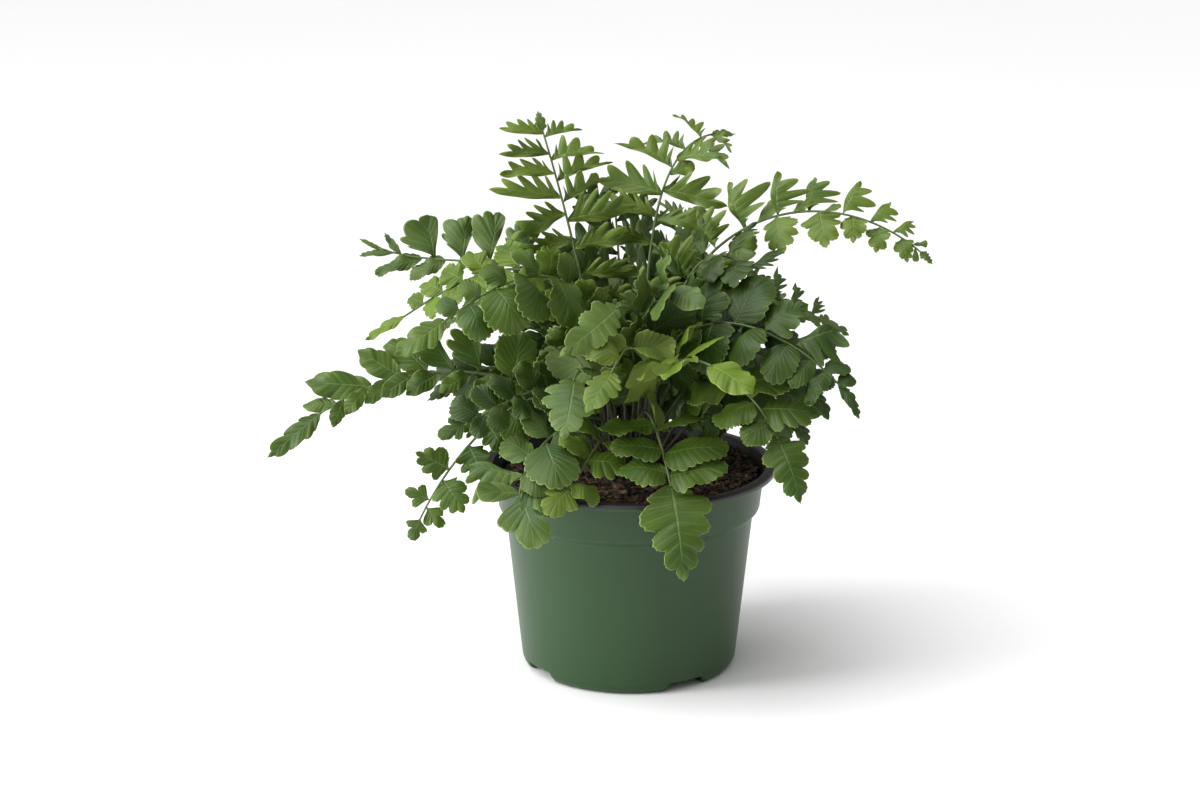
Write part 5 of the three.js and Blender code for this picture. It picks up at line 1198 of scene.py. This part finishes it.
def grow_leaflet(frond, owner, leaflet, sign, place, chance, extra_droop):
    """One leaflet on the right (sign 1) or left (sign -1), turned or shortened until its thinned-out side
    touches nothing. If no try is free, the one that touches least stays, so a few leaflets still meet."""
    share, name, length, lean, breadth = (*leaflet, 1.0)[:5]
    kind = KINDS[name]
    point, along, upper, right = place
    length *= chance.uniform(0.95, 1.05)
    droop = kind["droop"] * chance.uniform(0.6, 1.35) + extra_droop
    cup = chance.uniform(0.1, 0.6)
    lean = math.radians(lean + chance.normal(0, 3))
    lift = LEAFLET_LIFT + 0.3 * droop + chance.normal(0, 5)
    twist = LEAFLET_TWIST + chance.normal(0, 6)
    ruffle = chance.uniform(0.6, 1.9)
    seed = int(chance.integers(1, 1_000_000))
    tint = chance.uniform(0, 1)
    best = None
    for size in TRIED_SIZES:
        shape = leaf_blade(kind, length * size, breadth, droop, cup, ruffle, np.random.default_rng(seed))
        for turn, spin in TRIED_TURNS:
            tilt = math.radians(lift + turn)
            sideways = sign * right * math.cos(tilt) + upper * math.sin(tilt)
            out = sideways * math.cos(lean) + along * math.sin(lean)
            ahead = along * math.cos(lean) - sideways * math.sin(lean)
            ahead = turned_about(ahead, out, sign * (twist + spin))
            foot = point + out * LEAFLET_FOOT
            top = lay(shape[0], foot, out, ahead, sign)
            thin, faces = coarse(top)
            touches = space.meets(thin, faces, owner)
            if best is None or touches < best[0]:
                best = (touches, top, lay(shape[1], foot, out, ahead, sign), shape[2], thin, faces)
            if touches == 0:
                break
        if best[0] == 0:
            break
    _, top, low, rows, thin, faces = best
    space.keep("blade", thin, faces)
    frond.add_blade(top, low, rows, kind["veins"], sign < 0, tint, share)


# Leaf tones: the shaded colour, the lit colour and the colour of the edge and veins.
LEAF_TONES = {
    "deep": ((0.018, 0.044, 0.004), (0.05, 0.096, 0.01), (0.17, 0.24, 0.07)),
    "mid": ((0.033, 0.07, 0.005), (0.084, 0.143, 0.015), (0.23, 0.31, 0.09)),
    "fresh": ((0.062, 0.112, 0.01), (0.138, 0.205, 0.022), (0.3, 0.37, 0.11)),
    "bright": ((0.066, 0.12, 0.008), (0.138, 0.222, 0.016), (0.34, 0.42, 0.11)),
    "blue": ((0.042, 0.084, 0.012), (0.105, 0.168, 0.03), (0.24, 0.32, 0.12)),
    "pale": ((0.05, 0.094, 0.016), (0.122, 0.192, 0.036), (0.28, 0.36, 0.15)),
}
LEAF_THIN_LIGHT = 0.2  # the share of light that shines through


def leaf_material(name, shaded, lit, edge):
    """A leathery leaf: quilted between its veins, with patches of painted bluish sheen on its middle, a thin
    pale margin and a duller pale underside."""
    leaf = Finish(name)
    chart = leaf.node("ShaderNodeUVMap", {"uv_map": "veins"}, {})
    along = leaf.node("ShaderNodeSeparateXYZ", {}, {0: chart}, 0)
    across = leaf.node("ShaderNodeSeparateXYZ", {}, {0: chart}, 1)
    tint = leaf.painted("tint")
    age = leaf.painted("age")
    spot = leaf.place()
    cloud = leaf.noise(spot, 60, 3, 0.55)
    speck = leaf.noise(spot, 1100, 3, 0.6)
    # Painted sheen: soft patches of a cool bluish green, painted in place of the light's reflection on the
    # blade.
    painted_sheen = leaf.noise(spot, 38, 2, 0.5)
    sheen_green = tuple(share * (dark + light) for share, dark, light in zip((0.32, 0.43, 1.0), shaded, lit))
    out = across.size()
    between = (along * math.pi).worked("SINE").size()
    vein = (1 - between) ** 6 * out.rise(0.0, 0.12) * (1 - out.rise(0.75, 1.0))
    fine = (along * (3 * math.pi)).worked("SINE").size()
    midrib = 1 - out.rise(0.015, 0.06)
    bead = (along * (2 * math.pi)).worked("SINE").size()
    rim = out.rise(0.93, 0.985) * (0.6 + bead * 0.4)
    under = 1 - across.rise(-0.02, 0.02)
    body = leaf.blend((cloud * 0.7 + tint * 0.6 + age * 0.2 - 0.35).rise(0.0, 1.0), shaded, lit)
    body = leaf.blend(out.rise(0.3, 0.95) * 0.45, body, lit)
    # Painted sheen on the middle of each blade, fading out towards its edges.
    body = leaf.blend(painted_sheen.rise(0.45, 0.7) * (1 - out.rise(0.5, 0.95)) * 0.6, body, sheen_green)
    body = leaf.blend(speck.rise(0.45, 0.75) * 0.3, body, shaded)
    body = leaf.blend((vein * 0.22).most(midrib * 0.3).most(rim * 0.9), body, edge)
    pale = leaf.blend(0.45 + cloud * 0.2, body, tuple(0.5 * (a + b) for a, b in zip(lit, edge)))
    colour = leaf.blend(under, body, pale)
    height = between * 0.3 + fine * 0.1 + speck * 0.08 + cloud * 0.9 - midrib * 0.4
    normal = leaf.bump(height, 0.55, 0.0009)
    rough = 0.28 + cloud * 0.16 + under * 0.3
    sockets = {"Base Color": colour, "Roughness": rough, "Normal": normal, "Specular IOR Level": 0.32}
    glow = (2.4 * lit[0], 2.0 * lit[1], 0.8 * lit[2])
    return leaf.surface(sockets, glow, LEAF_THIN_LIGHT)


leaf_finishes = {tone: leaf_material("leaf_" + tone, *colours) for tone, colours in LEAF_TONES.items()}

stalk_finish = Finish("stalk")
streak = stalk_finish.noise(stalk_finish.place(), 700, 3, 0.6)
greening = stalk_finish.painted("age").rise(0.1, 0.5)
stalk_colour = stalk_finish.blend(greening, (0.022, 0.013, 0.009), (0.066, 0.108, 0.024))
stalk_colour = stalk_finish.blend(streak.rise(0.4, 0.8) * 0.4, stalk_colour, (0.1, 0.13, 0.05))
stalk_bump = stalk_finish.bump(streak, 0.4, 0.0003)
stalk_rough = 0.42 + streak * 0.15
stalk_sockets = {"Base Color": stalk_colour, "Roughness": stalk_rough, "Normal": stalk_bump}
stalk_skin = stalk_finish.surface(stalk_sockets)

# All stalks take their room first, so that every leaflet is tried against all of them.
STALK_ROOM_RADII = (1.1, 0.5)
stalks = {}
for name, path, facing, *_ in FRONDS:
    line, run = stalk_line([(*path[0], STALK_START), *path[1:]])
    face = unit(np.array(facing, float))
    stalks[name] = (line, run, face)
    points, faces, _, _ = stalk_tube(line, run, face, 1.0, STALK_ROOM_RADII)
    space.keep("stalk_" + name, points, faces)

# Then the fronds grow one by one: stalk, leaflets from the foot to the tip, and end leaf, which is not tried
# against the rest.
END_LEAF_LIFT = 0.17
FIRST_SEED = 100
for number, (name, _, _, tone, end, extra_droop, right_row, left_row) in enumerate(FRONDS):
    chance = np.random.default_rng(FIRST_SEED + number)
    line, run, face = stalks[name]
    end_kind, end_length, end_breadth = KINDS[end[0]], end[1], end[2]
    end_share = 1 - end_length / run[-1]
    frond = Frond()
    points, faces, corners, shares = stalk_tube(line, run, face, end_share + 0.01, STALK_RADII)
    frond.add(points, faces, corners, STALK_FINISH, 0.5, shares)
    leaflets = [(leaflet, 1) for leaflet in right_row] + [(leaflet, -1) for leaflet in left_row]
    for leaflet, sign in sorted(leaflets, key=lambda pair: pair[0][0]):
        if leaflet[0] <= end_share:
            place = stalk_place(line, run, leaflet[0], face)
            grow_leaflet(frond, "stalk_" + name, leaflet, sign, place, chance, extra_droop)

    point, along, upper, right = stalk_place(line, run, end_share, face)
    out = unit(line[-1] - point)
    upper = unit(upper - out * upper.dot(out))
    out = unit(out + upper * END_LEAF_LIFT)
    upper = unit(upper - out * upper.dot(out))
    ahead = np.cross(upper, out)
    top, low, rows = leaf_blade(end_kind, end_length, end_breadth, end_kind["droop"] * 0.8, 0.4, 0.8, chance)
    top, low = lay(top, point, out, ahead, 1), lay(low, point, out, ahead, 1)
    frond.add_blade(top, low, rows, end_kind["veins"], False, chance.uniform(0, 1), 1.0)
    space.keep("blade", *coarse(top))

    piece = add_piece("fern_" + name, np.concatenate(frond.points) * MM, frond.faces, leaf_finishes[tone])
    mesh = piece.data
    mesh.materials.append(stalk_skin)
    mesh.polygons.foreach_set("material_index", frond.finishes)
    mesh.uv_layers.new(name="veins").data.foreach_set("uv", np.array(frond.corners).reshape(-1))
    mesh.attributes.new("tint", "FLOAT", "POINT").data.foreach_set("value", np.concatenate(frond.tints))
    mesh.attributes.new("age", "FLOAT", "POINT").data.foreach_set("value", np.concatenate(frond.ages))
    mesh.update()
    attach(piece, "root")
    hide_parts("frond_" + name)
    "leaf_" + tone

# ---------------------------------------------------------------------------------------------------------
# Sizes: the box round the finished plant, in metres.

low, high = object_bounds()
